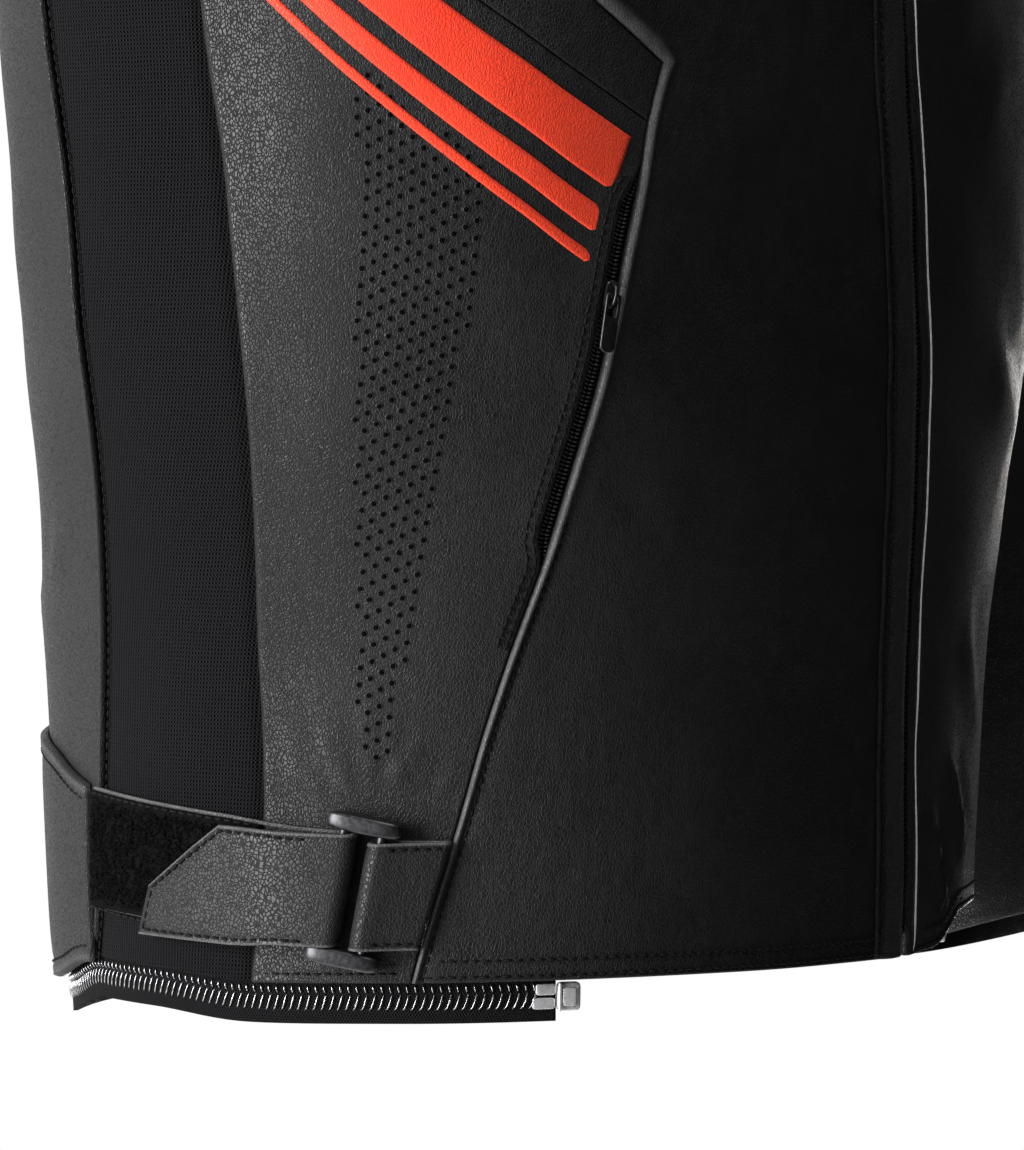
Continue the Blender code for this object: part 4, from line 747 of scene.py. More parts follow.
# pale satin metal, calmer than the teeth
BOX_METAL = speckled("zinc_cast_satin_nickel", "#b9b9bb", "#d2d2d4", 0.45, 0.42, 700.0, 0.01)
# black plastic wire with a thin shine on each turn
COIL = speckled("polyester_coil_black", "#0d0d0e", "#232325", 0.0, 0.34, 900.0, 0.02)


# ---------------------------------------------------------------- torso
# lift of a piece near an edge: (millimetres from the edge, millimetres out)
ROLL = [(0, -0.9), (0.12, -0.3), (0.3, 0.45), (0.6, 1.0), (0.95, 1.25), (1.3, 1.15), (1.6, 0.8), (1.9, 0.3),
        (2.2, 0.02), (2.7, 0.0), (3.6, 0.22), (5.5, 0.38), (9, 0.2), (14, 0)]
FOLDED = [(0, -0.7), (0.12, -0.45), (0.35, -0.1), (0.8, 0.3), (1.4, 0.55), (2.1, 0.62), (3.0, 0.55), (5, 0.38),
          (9, 0.15), (14, 0)]
WELT = [(0, -0.4), (0.12, 0.0), (0.4, 0.8), (0.8, 1.15), (1.2, 1.2), (1.7, 1.0), (2.2, 0.6), (3.0, 0.5), (5, 0.45),
        (10, 0.15), (15, 0)]
DIPPED = [(0, -1.5), (0.5, -1.35), (1.2, -1.15), (2.2, -0.6), (3.4, -0.2), (5, 0), (8, 0)]
HEMMED = [(0, -0.8), (0.12, -0.4), (0.35, 0.05), (0.8, 0.28), (1.3, 0.22), (1.8, 0.05), (2.4, 0.1), (4, 0.2),
          (6.4, 0.14), (7.1, 0.0), (8.0, 0.06), (10, 0)]
BELT_ROLL = [(0, 0.4), (0.25, 1.2), (0.6, 2.1), (1.2, 2.9), (1.9, 3.25), (2.8, 3.3), (3.8, 2.9), (4.6, 2.2),
             (5.2, 2.0), (7, 2.25), (14, 2.5), (30, 2.6)]
# a colour weight, not a lift: how far the pale colour reaches in from the pocket ridge's roll, partly rubbed wear and
# partly painted highlight where the roll catches the light
PALE_ROLL_HIGHLIGHT = [(0, 0.2), (0.3, 0.55), (0.8, 0.75), (1.3, 0.6), (1.8, 0.15), (2.4, 0.0), (6, 0)]


def lifts(piece, **edges):
    """The lowest of the quarter-round drops at the plain edges, plus each named edge's own profile."""
    lift = np.zeros_like(piece["girth"])
    for edge in ("left", "right", "low", "high"):
        if edge not in edges:
            lift = np.minimum(lift, rounded(piece[edge]))
    for edge, rows in edges.items():
        if rows is not None:
            lift = lift + profile(piece[edge], rows)
    return lift


def mirror(line, side):
    """A line given for the wearer's right, on the side asked for."""
    return line * np.array([side, 1.0])


def make_side(label, side, hem_rows, cell):
    """Front, side front, insert and stretch panel of one side: each is the piece between its four seams, its
    lift the sum of the edge profiles."""
    line = lambda points: mirror(points, side)
    met = lambda step: armhole(step, step)[0]
    (top_girth, top_rise), (thin_girth, thin_rise) = RIDGE_TOP[0], THIN_SEAM[0]
    foot = float(curve(curve(HEM_RISE, RIDGE), hem_rows))
    ridge, ridge_end = up_seam(RIDGE, foot, thin_rise), up_seam(RIDGE, thin_rise, top_rise)
    ridge_top = round_seam(RIDGE_TOP, top_girth, met(AT_RIDGE)[0])
    thin_seam = round_seam(THIN_SEAM, thin_girth, met(AT_THIN_SEAM)[0])
    stretch_front, stretch_back = (
        up_seam(rows, float(curve(rows[1][1], hem_rows)), met(step)[1])
        for rows, step in ((STRETCH_FRONT, AT_STRETCH_FRONT), (STRETCH_BACK, AT_STRETCH_BACK)))
    middle = np.array([(r, side * g) for r, g in CLOSURE])
    # the closure's edge in five lengths, matched to the five seams on the other side of the front
    heights = [float(curve(0, hem_rows)), 0.262, 0.28, 0.355, 0.47, NECKLINE[0][1]]
    front = cut([line(up_seam(middle, a, b, CLOSURE_HALF)) for a, b in zip(heights, heights[1:])],
                [line(p) for p in (ridge, ridge_end, ridge_top, armhole(AT_RIDGE, 0), shoulder())],
                line(round_seam(hem_rows, CLOSURE_HALF, ridge[0, 0])),
                line(round_seam(NECKLINE, CLOSURE_HALF, 0.5)), 1.4 * cell, TURNED, ROLLED)
    armed = ease((front["rise"] - 0.38) / 0.02)           # past the insert the edge is the armhole's
    lift = (lifts(front, right=None, low=HEMMED, left=FOLDED) + profile(front["right"], ROLL) * (1 - armed)
            + rounded(front["right"]) * armed)
    # the roll beside the pocket ridge painted paler below the insert: partly painted highlight, partly rubbed wear
    wear = profile(front["right"], PALE_ROLL_HIGHLIGHT) * 800 * (1 - armed) * ease((0.4 - front["rise"]) / 0.1)
    clothing(f"leather_front_{label}", front, lift, BLACK_HIDE, f"front_{label}", wear=wear,
             rests=(f"leather_side_front_{label}", "leather_collar"))

    side_edge = ridge.copy()
    side_edge[:, 0] += slot(side_edge[:, 1])
    split = np.searchsorted(side_edge[:, 1], 0.15)
    cross = np.searchsorted(stretch_front[:, 1], 0.165)
    side_front = cut([line(side_edge[:split + 1]), line(side_edge[split:])],
                     [line(stretch_front[:cross + 1]), line(stretch_front[cross:])],
                     line(round_seam(hem_rows, side_edge[0, 0], stretch_front[0, 0])),
                     line(np.concatenate([thin_seam, armhole(AT_THIN_SEAM, AT_STRETCH_FRONT)[1:]])),
                     cell, ROLLED, ROLLED)
    at_zip = ease((side_front["rise"] - 0.143) / 0.012) * ease((0.268 - side_front["rise"]) / 0.012)
    lift = (lifts(side_front, left=None, right=FOLDED, low=HEMMED) + profile(side_front["left"], FOLDED) * at_zip
            + rounded(side_front["left"]) * (1 - at_zip))
    clothing(f"leather_side_front_{label}", side_front, lift, BLACK_HIDE, f"side_front_{label}",
             rests=(f"leather_insert_{label}", f"stretch_side_{label}_knit"))

    insert = cut([line(thin_seam)], [line(ridge_top)], line(ridge_end), line(armhole(AT_THIN_SEAM, AT_RIDGE)), cell)
    clothing(f"leather_insert_{label}", insert, lifts(insert), BLACK_HIDE, f"insert_{label}",
             rests=(f"leather_sleeve_top_{label}",))

    stretch = cut([line(stretch_front)], [line(stretch_back)],
                  line(round_seam(hem_rows, stretch_front[0, 0], stretch_back[0, 0])),
                  line(armhole(AT_STRETCH_FRONT, AT_STRETCH_BACK)), cell)
    clothing(f"stretch_side_{label}_knit", stretch, lifts(stretch, left=DIPPED, right=DIPPED), STRETCH,
             f"stretch_side_{label}", rests=("leather_back",))
    return {"ridge": ridge, "ridge_top": ridge_top, "side_edge": side_edge, "hem": hem_rows,
            "stretch_front": stretch_front, "stretch_back": stretch_back}


def make_back(right_seam, left_seam):
    """The back is one piece from stretch panel to stretch panel, neck to hem, between the four edges; the belt
    lies on its hem."""
    parts = [right_seam, armhole(AT_STRETCH_BACK, ARMHOLE_STEPS), shoulder()]
    back = cut(parts, [past_back(part) for part in (left_seam, *parts[1:])],
               over_back(HEM_RIGHT, HEM_LEFT, right_seam[0, 0]), over_back(NECKLINE, NECKLINE, 0.5),
               WIDE, ROLLED, ROLLED)
    seamed = 1 - ease((back["rise"] - 0.37) / 0.02)
    lift = lifts(back, left=None, right=None, low=HEMMED)
    for edge in ("left", "right"):
        lift = lift + profile(back[edge], WELT) * seamed + rounded(back[edge]) * (1 - seamed)
    clothing("leather_back", back, lift, BLACK_HIDE, "back", rests=("leather_collar",))

    lower, upper = over_back(HEM_RIGHT, HEM_LEFT, 0.636, -0.0015), over_back(BELT_TOP, BELT_TOP, BELT_TOP[0][0])
    ends = [np.linspace(lower[k], upper[k], 12) for k in (0, -1)]
    belt = cut([ends[0]], [ends[1]], lower, upper, 0.0032, end_steps=ROLLED)
    lift = np.minimum(profile(belt["low"], BELT_ROLL), profile(belt["high"], BELT_ROLL))
    for edge in ("left", "right"):
        lift = np.minimum(lift, 0.0004 + 2 * profile(belt[edge], [(0, 0.1), (0.5, 0.8), (1.2, 1.25), (20, 1.6)]))
    # the belt's rolled edges painted paler just inside each edge: partly painted highlight, partly rubbed wear
    wear = 0.25 * np.exp(-((np.minimum(belt["low"], belt["high"]) - 0.0018) / 0.0012) ** 2)
    clothing("leather_belt_back", belt, lift, BLACK_HIDE, "back_hem_belt", depth=0.0, under=LAID,
             wear=wear, rests=("leather_back",))


def make_placket():
    """A soft welt beside the closure: a strip whose lift is a low arch with a stitched outer border."""
    inner = up_seam(PLACKET_INNER, 0.0222, 0.5405)
    piece = strip(inner, inner + (PLACKET_WIDTH, 0), 0.0022, points=5)
    share = piece["left"] / (piece["left"] + piece["right"])
    arch = np.sin(math.pi * np.clip(share, 0, 1) ** 0.8) ** 0.55 * (1 - 0.25 * ease((share - 0.55) / 0.3))
    sewn = np.exp(-((piece["right"] - 0.0021) / 0.0006) ** 2)
    lift = 0.0004 + 0.003 * arch - 0.001 * sewn + 0.00025 * np.sin(piece["rise"] * 170 + share * 4) * share
    lift = np.minimum(lift, 0.0034) + np.minimum(rounded(piece["low"]), rounded(piece["high"]))
    # a pale band along the welt's crown: partly painted highlight, partly rubbed wear
    wear = 0.12 * np.exp(-((share - 0.45) / 0.2) ** 2)
    clothing("leather_placket", piece, lift, BLACK_HIDE, "placket", depth=0.0, under=LAID, wear=wear,
             rests=("leather_front_right",))


def make_bands(label, side):
    """Three straight painted bands parallel to the thin seam, from the pocket's edge to the stretch panel."""
    girth = np.linspace(THIN_SEAM[0][0], 0.479, 240)
    for name, drop, width in BANDS:
        edges = []
        for fall in (drop + width, drop):
            rise = curve(girth, THIN_SEAM) - fall / BAND_SLANT
            clear = (girth > curve(rise, RIDGE) + slot(rise) + 0.009) & (girth < curve(rise, STRETCH_FRONT) - 0.012)
            edges.append(mirror(np.stack([girth, rise], -1)[clear], side))
        band = strip(*edges, 0.0024, BARE)
        nearest = np.minimum.reduce([band[k] for k in ("left", "right", "low", "high")])
        lift = 0.00028 - 0.00012 * np.exp(-nearest / 0.0004)
        clothing(f"leather_{name}_{label}", band, lift, RED_HIDE, f"{name}_{label}", depth=0.0003,
                 rests=(f"leather_side_front_{label}",))


# ---------------------------------------------------------------- collar, tapes, sleeves
def make_collar():
    """A stand collar: a profile of (share of height, outward, thickness) carried along the neckline, its top
    edge turned in a half circle."""
    girth = np.concatenate([-np.linspace(0.012, 1, 150), np.linspace(1, 0.012, 150)[1:]])
    base = form(girth, curve(np.abs(girth), NECKLINE) - 0.0006) - np.array([0, 0, 0.0003])
    away = base - np.array([0, 0.008, 0])
    away[:, 2] = 0
    away = unit(away)
    top = COLLAR_HEIGHT - 0.006 * np.maximum(0.0, 1 - np.abs(girth) / 0.35)
    share = np.array([0, 0.012, 0.03, 0.06, 0.1, 0.16, 0.24, 0.34, 0.45, 0.56, 0.67, 0.78, 0.86, 0.91, 0.94, 0.96,
                      0.975, 0.985, 0.993, 0.998])[:, None]
    lean = (0.004 * np.sin(math.pi * share) - 0.002 * share + 0.0018) * ease(share / 0.06)
    swell = (0.0011 * np.sin(math.pi * share) ** 0.5 + 0.0005 * np.exp(-((share - 0.93) / 0.03) ** 2)
             - 0.0005 * np.exp(-((share - 0.83) / 0.02) ** 2))
    soft = 0.0005 * np.sin(girth * 31 + 1) * np.sin(share * 5) + 0.0004 * np.sin(girth * 57) * share
    mid = base + np.array([0, 0, 1.0]) * (top * share)[..., None] + away * (lean + soft)[..., None]
    tip = np.sqrt(np.clip(1 - ((share - 0.955) / 0.045).clip(0, 1) ** 2, 0.02, 1))
    outer = mid + away * (swell + 0.0002)[..., None] * tip[..., None]
    inner = mid - away * ((0.0012 + 0.3 * swell) * tip + 0.0004)[..., None]
    uv = np.stack(np.broadcast_arrays(girth * 0.22, top * share), -1)
    # the collar's turned top edge painted paler: partly painted highlight, partly rubbed wear
    wear = np.broadcast_to(0.15 * np.exp(-((share - 0.96) / 0.03) ** 2), outer.shape[:2])
    made = shell("leather_collar", outer, inner, BLACK_HIDE, uv=uv, wear=wear)
    finished(made, "collar")
    length, height = np.linalg.norm(np.diff(base, axis=0), axis=1).sum(), top.max()
    sheet(made, length, height, length * height * 0.93, ("leather_back", "leather_front_right", "leather_front_left"))


def make_tapes():
    """Zip tapes: flat woven strips under the panels' edges, from line to line of the cut."""
    def tape(name, piece, node, under, *rests):
        clothing(name, piece, np.zeros_like(piece["girth"]), TAPE_WEAVE, node, depth=TAPE, under=under,
                 rests=rests)
    rise = np.linspace(0.028, 0.532, 150)
    middle, reach = np.stack([curve(rise, CLOSURE), rise], -1), (0.022, 0)
    tape("tape_front_zip", strip(middle - reach, middle + reach, 0.003, BARE), "front_zip", ZIP_SUNK,
         "leather_front_right", "leather_front_left")
    rise = np.linspace(0.142, 0.268, 50)
    for label, side in SIDES:
        edges = [mirror(np.stack([curve(rise, RIDGE) + d, rise], -1), side) for d in (-0.012, SLOT + 0.014)]
        tape(f"tape_pocket_zip_{label}", strip(*edges, 0.0022, BARE), f"pocket_zip_{label}", ZIP_SUNK,
             f"leather_front_{label}", f"leather_side_front_{label}")
    lower, upper = (over_back(HEM_RIGHT, HEM_RIGHT, 0.3, shift) for shift in (-0.0125, 0.011))
    ends = [np.linspace(lower[k], upper[k], 6) for k in (0, -1)]
    tape("tape_connection_zip", cut([ends[0]], [ends[1]], lower, upper, 0.003, BARE, BARE, BARE), "connection_zip",
         ZIP_SUNK - LAID, "leather_back")


SLEEVE_FOLDS = {    # (share along, share round, end share along, end share round, half width, height), metres
    "left": [(0.38, 0.1, 0.44, 0.4, 0.0072, 0.0041), (0.45, 0.14, 0.5, 0.46, 0.0064, -0.0034),
             (0.52, 0.05, 0.56, 0.34, 0.008, 0.0034), (0.12, 0.35, 0.26, 0.62, 0.008, 0.0034),
             (0.2, 0.55, 0.33, 0.72, 0.0088, -0.0029), (0.64, 0.2, 0.7, 0.55, 0.008, 0.0026),
             (0.76, 0.6, 0.82, 0.92, 0.0072, 0.0028), (0.84, 0.15, 0.9, 0.42, 0.0064, 0.0026),
             (0.9, 0.5, 0.94, 0.85, 0.0064, 0.0023), (0.3, 0.75, 0.42, 0.95, 0.008, 0.003),
             (0.55, 0.62, 0.62, 0.9, 0.008, 0.0028)],
    "right": [(0.46, 0.3, 0.52, 0.62, 0.0072, 0.0039), (0.52, 0.34, 0.58, 0.66, 0.0064, -0.0034),
              (0.58, 0.28, 0.62, 0.55, 0.0072, 0.0034), (0.05, 0.32, 0.2, 0.6, 0.0096, 0.0039),
              (0.14, 0.45, 0.3, 0.7, 0.0096, -0.003), (0.3, 0.02, 0.4, 0.25, 0.008, 0.0028),
              (0.68, 0.1, 0.74, 0.45, 0.008, 0.0028), (0.78, 0.55, 0.84, 0.88, 0.0072, 0.0028),
              (0.86, 0.12, 0.92, 0.4, 0.0064, 0.0026), (0.92, 0.5, 0.96, 0.8, 0.0064, 0.0021),
              (0.24, 0.75, 0.36, 0.96, 0.008, 0.003)]}


def sleeve_point(label, share, angle):
    """A place on a sleeve: the rings' own points at an angle, joined by a Catmull-Rom curve along the arm.
    Ring 0 is the armhole itself, the others ovals of centre + top * cos + front * sin."""
    rows, side = SLEEVES[label], dict(SIDES)[label]
    share, angle = np.broadcast_arrays(np.asarray(share, float), np.asarray(angle, float))
    s, c = np.sin(angle), np.cos(angle)
    girth, rise = armhole_place(angle, 1 - 0.0003 / 0.085)
    rings = [lifted(side * girth, rise, -0.0013)]
    centres = [form(side * ARMHOLE_CENTRE[0], ARMHOLE_CENTRE[1])] + [row[:3] for row in rows]
    for k, row in enumerate(rows, 1):
        axis = unit(centres[min(k + 1, len(rows))] - centres[k - 1])
        top = row[3:6]
        front = unit(np.cross(axis, top)) * row[6]
        front = -front if front[1] > 0 else front
        rings.append(centres[k] + top * c[..., None] + front * s[..., None])
    rings = np.stack(rings)
    last = len(rings) - 1
    at = np.clip(share * last, 0, last - 1e-6)
    k = at.astype(int)
    t = (at - k)[..., None]
    p0, p1, p2, p3 = (np.take_along_axis(rings, np.broadcast_to(np.clip(k + i, 0, last)[None, ..., None],
                                                                (1, *k.shape, 3)), 0)[0] for i in (-1, 0, 1, 2))
    return 0.5 * (2 * p1 + (p2 - p0) * t + (2 * p0 - 5 * p1 + 4 * p2 - p3) * t**2
                  + (3 * p1 - p0 - 3 * p2 + p3) * t**3)


def sleeve_skin(label, share, angle, out):
    """The sleeve with its folds: bells across listed lines, faded at the armhole and the cuff."""
    step = 0.004
    place = sleeve_point(label, share, angle)
    normal = unit(np.cross(
        sleeve_point(label, share + step, angle) - sleeve_point(label, np.maximum(share - step, 0), angle),
        sleeve_point(label, share, angle + step * 6) - sleeve_point(label, share, angle - step * 6)))
    centre = sleeve_point(label, share, 0.0) / 2 + sleeve_point(label, share, math.pi) / 2
    normal = normal * np.sign(((place - centre) * normal).sum(-1, keepdims=True))
    turn = (angle / (2 * math.pi)) % 1
    height = (0.0006 * np.sin(share * 38 + 2 * np.sin(angle)) * np.sin(angle * 2 + share * 9)
              + 0.0004 * np.sin(angle * 5 + share * 21))
    for a0, t0, a1, t1, width, tall in SLEEVE_FOLDS[label]:
        dx, dy = (a1 - a0) * SLEEVE_LENGTH, (t1 - t0) * SLEEVE_ROUND
        size = math.hypot(dx, dy)
        px, py = (share - a0) * SLEEVE_LENGTH, (turn - t0) * SLEEVE_ROUND
        run = (px * dx + py * dy) / size**2
        off = (px * dy - py * dx) / size - 0.006 * 4 * run * (1 - run)
        height = height + tall * ease(run / 0.35) * ease((1 - run) / 0.35) * (
            np.exp(-(off / width) ** 2) - 0.5 * np.exp(-((off + 1.7 * width) / width) ** 2))
    height = height * ease(share / 0.08) * ease((1 - share) / 0.05)
    return place + normal * (height + out)[..., None]


def make_sleeves():
    """Each sleeve is two pieces, top and under, meeting at seams 112.5 degrees from the outer line."""
    near = np.array([0, 0.004, 0.01, 0.018, 0.03, 0.046])         # radians from a seam
    share = np.concatenate([[0, 0.0006, 0.0015, 0.003, 0.005], np.linspace(0.01, 0.98, 112),
                            1 - np.array([0.0165, 0.0125, 0.0085, 0.0055, 0.003, 0.0015, 0.0006, 0])])
    seam_edge = [(0, 0), (1.2, 0.25), (2.0, 0.0), (3.2, 0.2), (8, 0)]
    cuff_edge = [(0, -0.8), (0.3, 0.1), (1.2, 0.5), (5, 0.5), (6.2, 0.05), (7.5, 0.2), (12, 0)]
    for label in ("left", "right"):
        for part, first, last in (("top", -112.5, 112.5), ("under", 112.5, 247.5)):
            a, b = math.radians(first) + 0.0015, math.radians(last) - 0.0015
            angle = np.concatenate([a + near, np.linspace(a, b, int((b - a) * 15))[1:-1], b - near[::-1]])
            angle = np.unique(np.where((angle > a + 0.046) & (angle < a + 0.075), a + 0.075, angle))
            grid_share, grid_angle = np.meshgrid(share, angle, indexing="ij")
            from_seam = np.minimum(grid_angle - a, b - grid_angle) * 0.06
            from_cuff = (1 - grid_share) * SLEEVE_LENGTH
            lift = rounded(from_seam + FIRST_LINE) + profile(from_seam, seam_edge)
            lift = lift + rounded(grid_share * SLEEVE_LENGTH + FIRST_LINE, 0.001) + profile(from_cuff, cuff_edge)
            outer = sleeve_skin(label, grid_share, grid_angle, lift)
            # the cuff's edge painted paler: partly painted highlight, partly rubbed wear
            made = shell(f"leather_sleeve_{part}_{label}", outer, sleeve_skin(label, grid_share, grid_angle, -WALL),
                         BLACK_HIDE, uv=np.stack([grid_angle * 0.064, grid_share * SLEEVE_LENGTH], -1),
                         wear=0.12 * np.exp(-(from_cuff / 0.002) ** 2))
            finished(made, f"sleeve_{part}_{label}")
            up, round_it = (np.linalg.norm(np.diff(outer, axis=k), axis=-1) for k in (0, 1))
            sheet(made, round_it.sum(1).max(), up.sum(0).max(), (up[:, :-1] * round_it[:-1]).sum(),
                  (f"leather_front_{label}", "leather_back"))


# ---------------------------------------------------------------- waist adjusters
def bar_line(offset):
    """Metres round the body to one of the ring's bars, by rise."""
    (s1, r1), (s0, r0) = RING_TOP, RING_BOTTOM
    return lambda rise: s0 + (s1 - s0) * (rise - r0) / (r1 - r0) + offset


def wrap(bar, lower, upper, start, end):
    """Columns of a strap that turns round a bar, from angle start to end in degrees."""
    angle = np.radians(np.linspace(start, end, 23))
    return [(bar(lower) + x, lower, bar(upper) + x, upper, BAR_HEIGHT + y)
            for x, y in zip(STRAP_TURN * np.cos(angle), STRAP_TURN * np.sin(angle))]


def dense(columns, step):
    """Straight stretches between a strap's columns, cut up evenly."""
    columns = np.array(columns, float)
    parts = []
    for a, b in zip(columns, columns[1:]):
        count = max(1, int(np.abs(b - a).max() / step))
        parts.append(a + (b - a) * (np.arange(count) / count)[:, None])
    return np.concatenate([*parts, columns[-1:]])


def ribbon(name, columns, side, finish, node, edge, thick=STRAP, rim=None):
    """A strap through columns of (length round, rise) at its lower and upper edge and a height. Its walls are
    half its thickness to either side of the middle line, its lift a function of the distance to the long
    edges, in millimetres."""
    for _ in range(2):
        inner = columns[1:-1]
        eased = (columns[:-2, 4] + 2 * inner[:, 4] + columns[2:, 4]) / 4
        columns = np.concatenate([columns[:1], np.column_stack([inner[:, :4], eased]), columns[-1:]])
    s0, r0, s1, r1, out = columns.T
    centre = np.stack([(s0 + s1) / 2, out], -1)
    ahead = unit(np.gradient(centre, axis=0))
    normal = np.stack([-ahead[:, 1], ahead[:, 0]], -1)
    width = np.hypot(s1 - s0, r1 - r0)
    steps = np.array([0, 0.12, 0.3, 0.6, 1.0, 1.5, 2.0, 2.6, 3.4]) / 1000
    near = np.minimum(steps[None, :] / width[:, None], 0.45 * steps / steps[-1])
    middle = np.linspace(0, 1, 15)[1:-1]
    share = np.concatenate([near, near[:, -1:] + (1 - 2 * near[:, -1:]) * middle, 1 - near[:, ::-1]], 1)
    from_edge = np.minimum(share, 1 - share) * width[:, None]
    lift = profile(from_edge, edge)
    run = np.concatenate([[0], np.cumsum(np.linalg.norm(np.diff(centre, axis=0), axis=1))])
    faces = []
    for way, extra in ((1, lift), (-1, np.zeros_like(lift))):
        shift = normal[:, None, :] * (way * thick / 2 + extra * way)[..., None]
        length = s0[:, None] + (s1 - s0)[:, None] * share + shift[..., 0]
        faces.append(beside(side, length, r0[:, None] + (r1 - r0)[:, None] * share, out[:, None] + shift[..., 1]))
    uv = np.stack([np.broadcast_to(run[:, None], share.shape), share * width[:, None]], -1)
    # the strap's long edges painted paler: partly painted highlight, partly rubbed wear
    made = shell(name, *faces, finish, rim, uv=uv, wear=0.55 * (1 - ease((from_edge - 0.0004) / 0.0006)))
    finished(made, node)
    sheet(made, run[-1], width.max(), (width[1:] * np.diff(run)).sum(),
          [f"leather_side_front_{'right' if side > 0 else 'left'}"], "folded")


def anchor_start(rise):
    """Metres round from the front centre to the strap anchor's seam, beside the ridge."""
    return float(curve(rise, RIDGE) * half(rise)) + 0.0006


def make_waist_adjuster(label, side):
    """A strap from the stretch panel round the ring's back bar and over itself, the loop patch on it, the short
    anchor from the ridge round the front bar, and the ring."""
    back_bar, front_bar = bar_line(RING_SPREAD / 2), bar_line(-RING_SPREAD / 2)
    band = [(0.307, 0.041, 0.078), (0.296, 0.0404, 0.0769), (0.284, 0.0397, 0.0757), (0.272, 0.039, 0.0745),
            (0.26, 0.0383, 0.0733), (0.248, 0.0376, 0.0721), (0.237, 0.0366, 0.0705), (0.226, 0.0358, 0.0692)]
    tab = [(0.23, 0.0346, 0.23, 0.0687, 0.0081), (0.238, 0.034, 0.238, 0.0693, 0.0074),
           (0.244, 0.0338, 0.244, 0.0696, 0.0065), (0.2515, 0.034, 0.2496, 0.0697, 0.0056),
           (0.2615, 0.0343, 0.2584, 0.0632, 0.005), (0.2704, 0.0346, 0.2668, 0.0567, TAB_REST),
           (0.2792, 0.0349, 0.2752, 0.0503, TAB_REST)]
    strap = [(s, r0, s, r1, STRAP_LOW) for s, r0, r1 in band] + wrap(back_bar, 0.0342, 0.0682, 270, 90) + tab
    stitched = [(0, -0.25), (0.12, -0.05), (0.5, 0.12), (1.2, 0.02), (1.7, -0.14), (2.3, 0.04), (3.4, 0.12), (8, 0.2)]
    ribbon(f"leather_waist_strap_{label}", dense(strap, 0.002), side, STRAP_HIDE, f"waist_strap_{label}",
           stitched, rim=CUT_EDGE)
    patch = [(s, r0 + 0.0006, s, r1 - 0.0008, STRAP_TOP + 0.0006) for s, r0, r1 in band[:7]]
    ribbon(f"loop_cloth_patch_{label}", dense(patch, 0.002), side, LOOPS, f"loop_patch_{label}",
           [(0, -0.3), (0.3, 0), (1.5, 0.2), (2.2, 0.0), (3, 0.3), (8, 0.3)], thick=0.0012)

    def to_ridge(share, height):
        """A column of the anchor, share 0 at the ridge and 1 beside the bar."""
        column = []
        for rise in (0.0332, 0.0655):
            ridge = anchor_start(rise)
            column += [ridge + (float(front_bar(rise)) - ridge) * share, rise]
        return [*column, height]
    anchor = [to_ridge(0, STRAP_LOW + STRAP + 0.0004), to_ridge(0.35, STRAP_LOW + STRAP + 0.0016),
              to_ridge(0.7, 0.0058), *wrap(front_bar, 0.0332, 0.0655, 90, -90),
              to_ridge(0.7, STRAP_LOW), to_ridge(0.35, STRAP_LOW), to_ridge(0, STRAP_LOW)]
    ribbon(f"leather_strap_anchor_{label}", dense(anchor, 0.0016), side, STRAP_HIDE, f"strap_anchor_{label}",
           stitched, rim=CUT_EDGE)
    make_ring(label, side)


def pillow(size, power_flat, power_side):
    """A rounded block: a sphere's sines and cosines raised to powers, flatter sides for smaller powers."""
    rings, sides = 14, 40
    v = np.linspace(-math.pi / 2, math.pi / 2, rings + 1)[1:-1]
    w = np.linspace(0, 2 * math.pi, sides, endpoint=False)
    bend = lambda x, p: np.sign(x) * np.abs(x) ** p
    cv, sv = bend(np.cos(v), power_side)[:, None], bend(np.sin(v), power_side)[:, None]
    points = np.stack(np.broadcast_arrays(size[0] / 2 * cv * bend(np.cos(w), power_flat), size[1] / 2 * sv,
                                          size[2] / 2 * cv * bend(np.sin(w), power_flat)), -1)
    verts = np.concatenate([[[0, -size[1] / 2, 0]], points.reshape(-1, 3), [[0, size[1] / 2, 0]]])
    return verts, capped(len(v), sides)


def cast(name, parts, finish, node):
    """The parts of one casting as one mesh, edges of more than 50 degrees kept sharp."""
    points, faces = gather(parts)
    finished(mesh_piece(name, points, faces, finish, sharp=50), node)


def placed(part, axes, spot):
    """A part in its own frame set on the body: columns of axes are its X, Y and Z."""
    return part[0] @ np.asarray(axes).T + spot, part[1]


def upright(along_line, normal, spot):
    """A frame with Z out of the body and Y along a line."""
    y = unit(along_line - normal * np.dot(along_line, normal))
    return np.stack([np.cross(y, normal), y, normal], -1), spot


def make_ring(label, side):
    """Two round bars between two rounded end caps."""
    length, rise = (RING_TOP[0] + RING_BOTTOM[0]) / 2, (RING_TOP[1] + RING_BOTTOM[1]) / 2
    axes, spot = upright(beside(side, *RING_TOP) - beside(side, *RING_BOTTOM),
                         facing(side * length / half(rise), rise), beside(side, length, rise, BAR_HEIGHT))
    reach = (RING_TOP[1] - RING_BOTTOM[1]) / 2
    parts = [placed(pillow(CAP, 0.62, 0.42), axes, spot + axes[:, 1] * reach * way) for way in (1, -1)]
    for x in (-RING_SPREAD / 2, RING_SPREAD / 2):
        line = spot + axes[:, 0] * x + axes[:, 1] * np.linspace(-reach, reach, 5)[:, None]
        parts.append(tubes(line[None], BAR_RADIUS, 20, axes[:, 2]))
    cast(f"ring_{label}_plated", parts, GUNMETAL, f"ring_{label}")


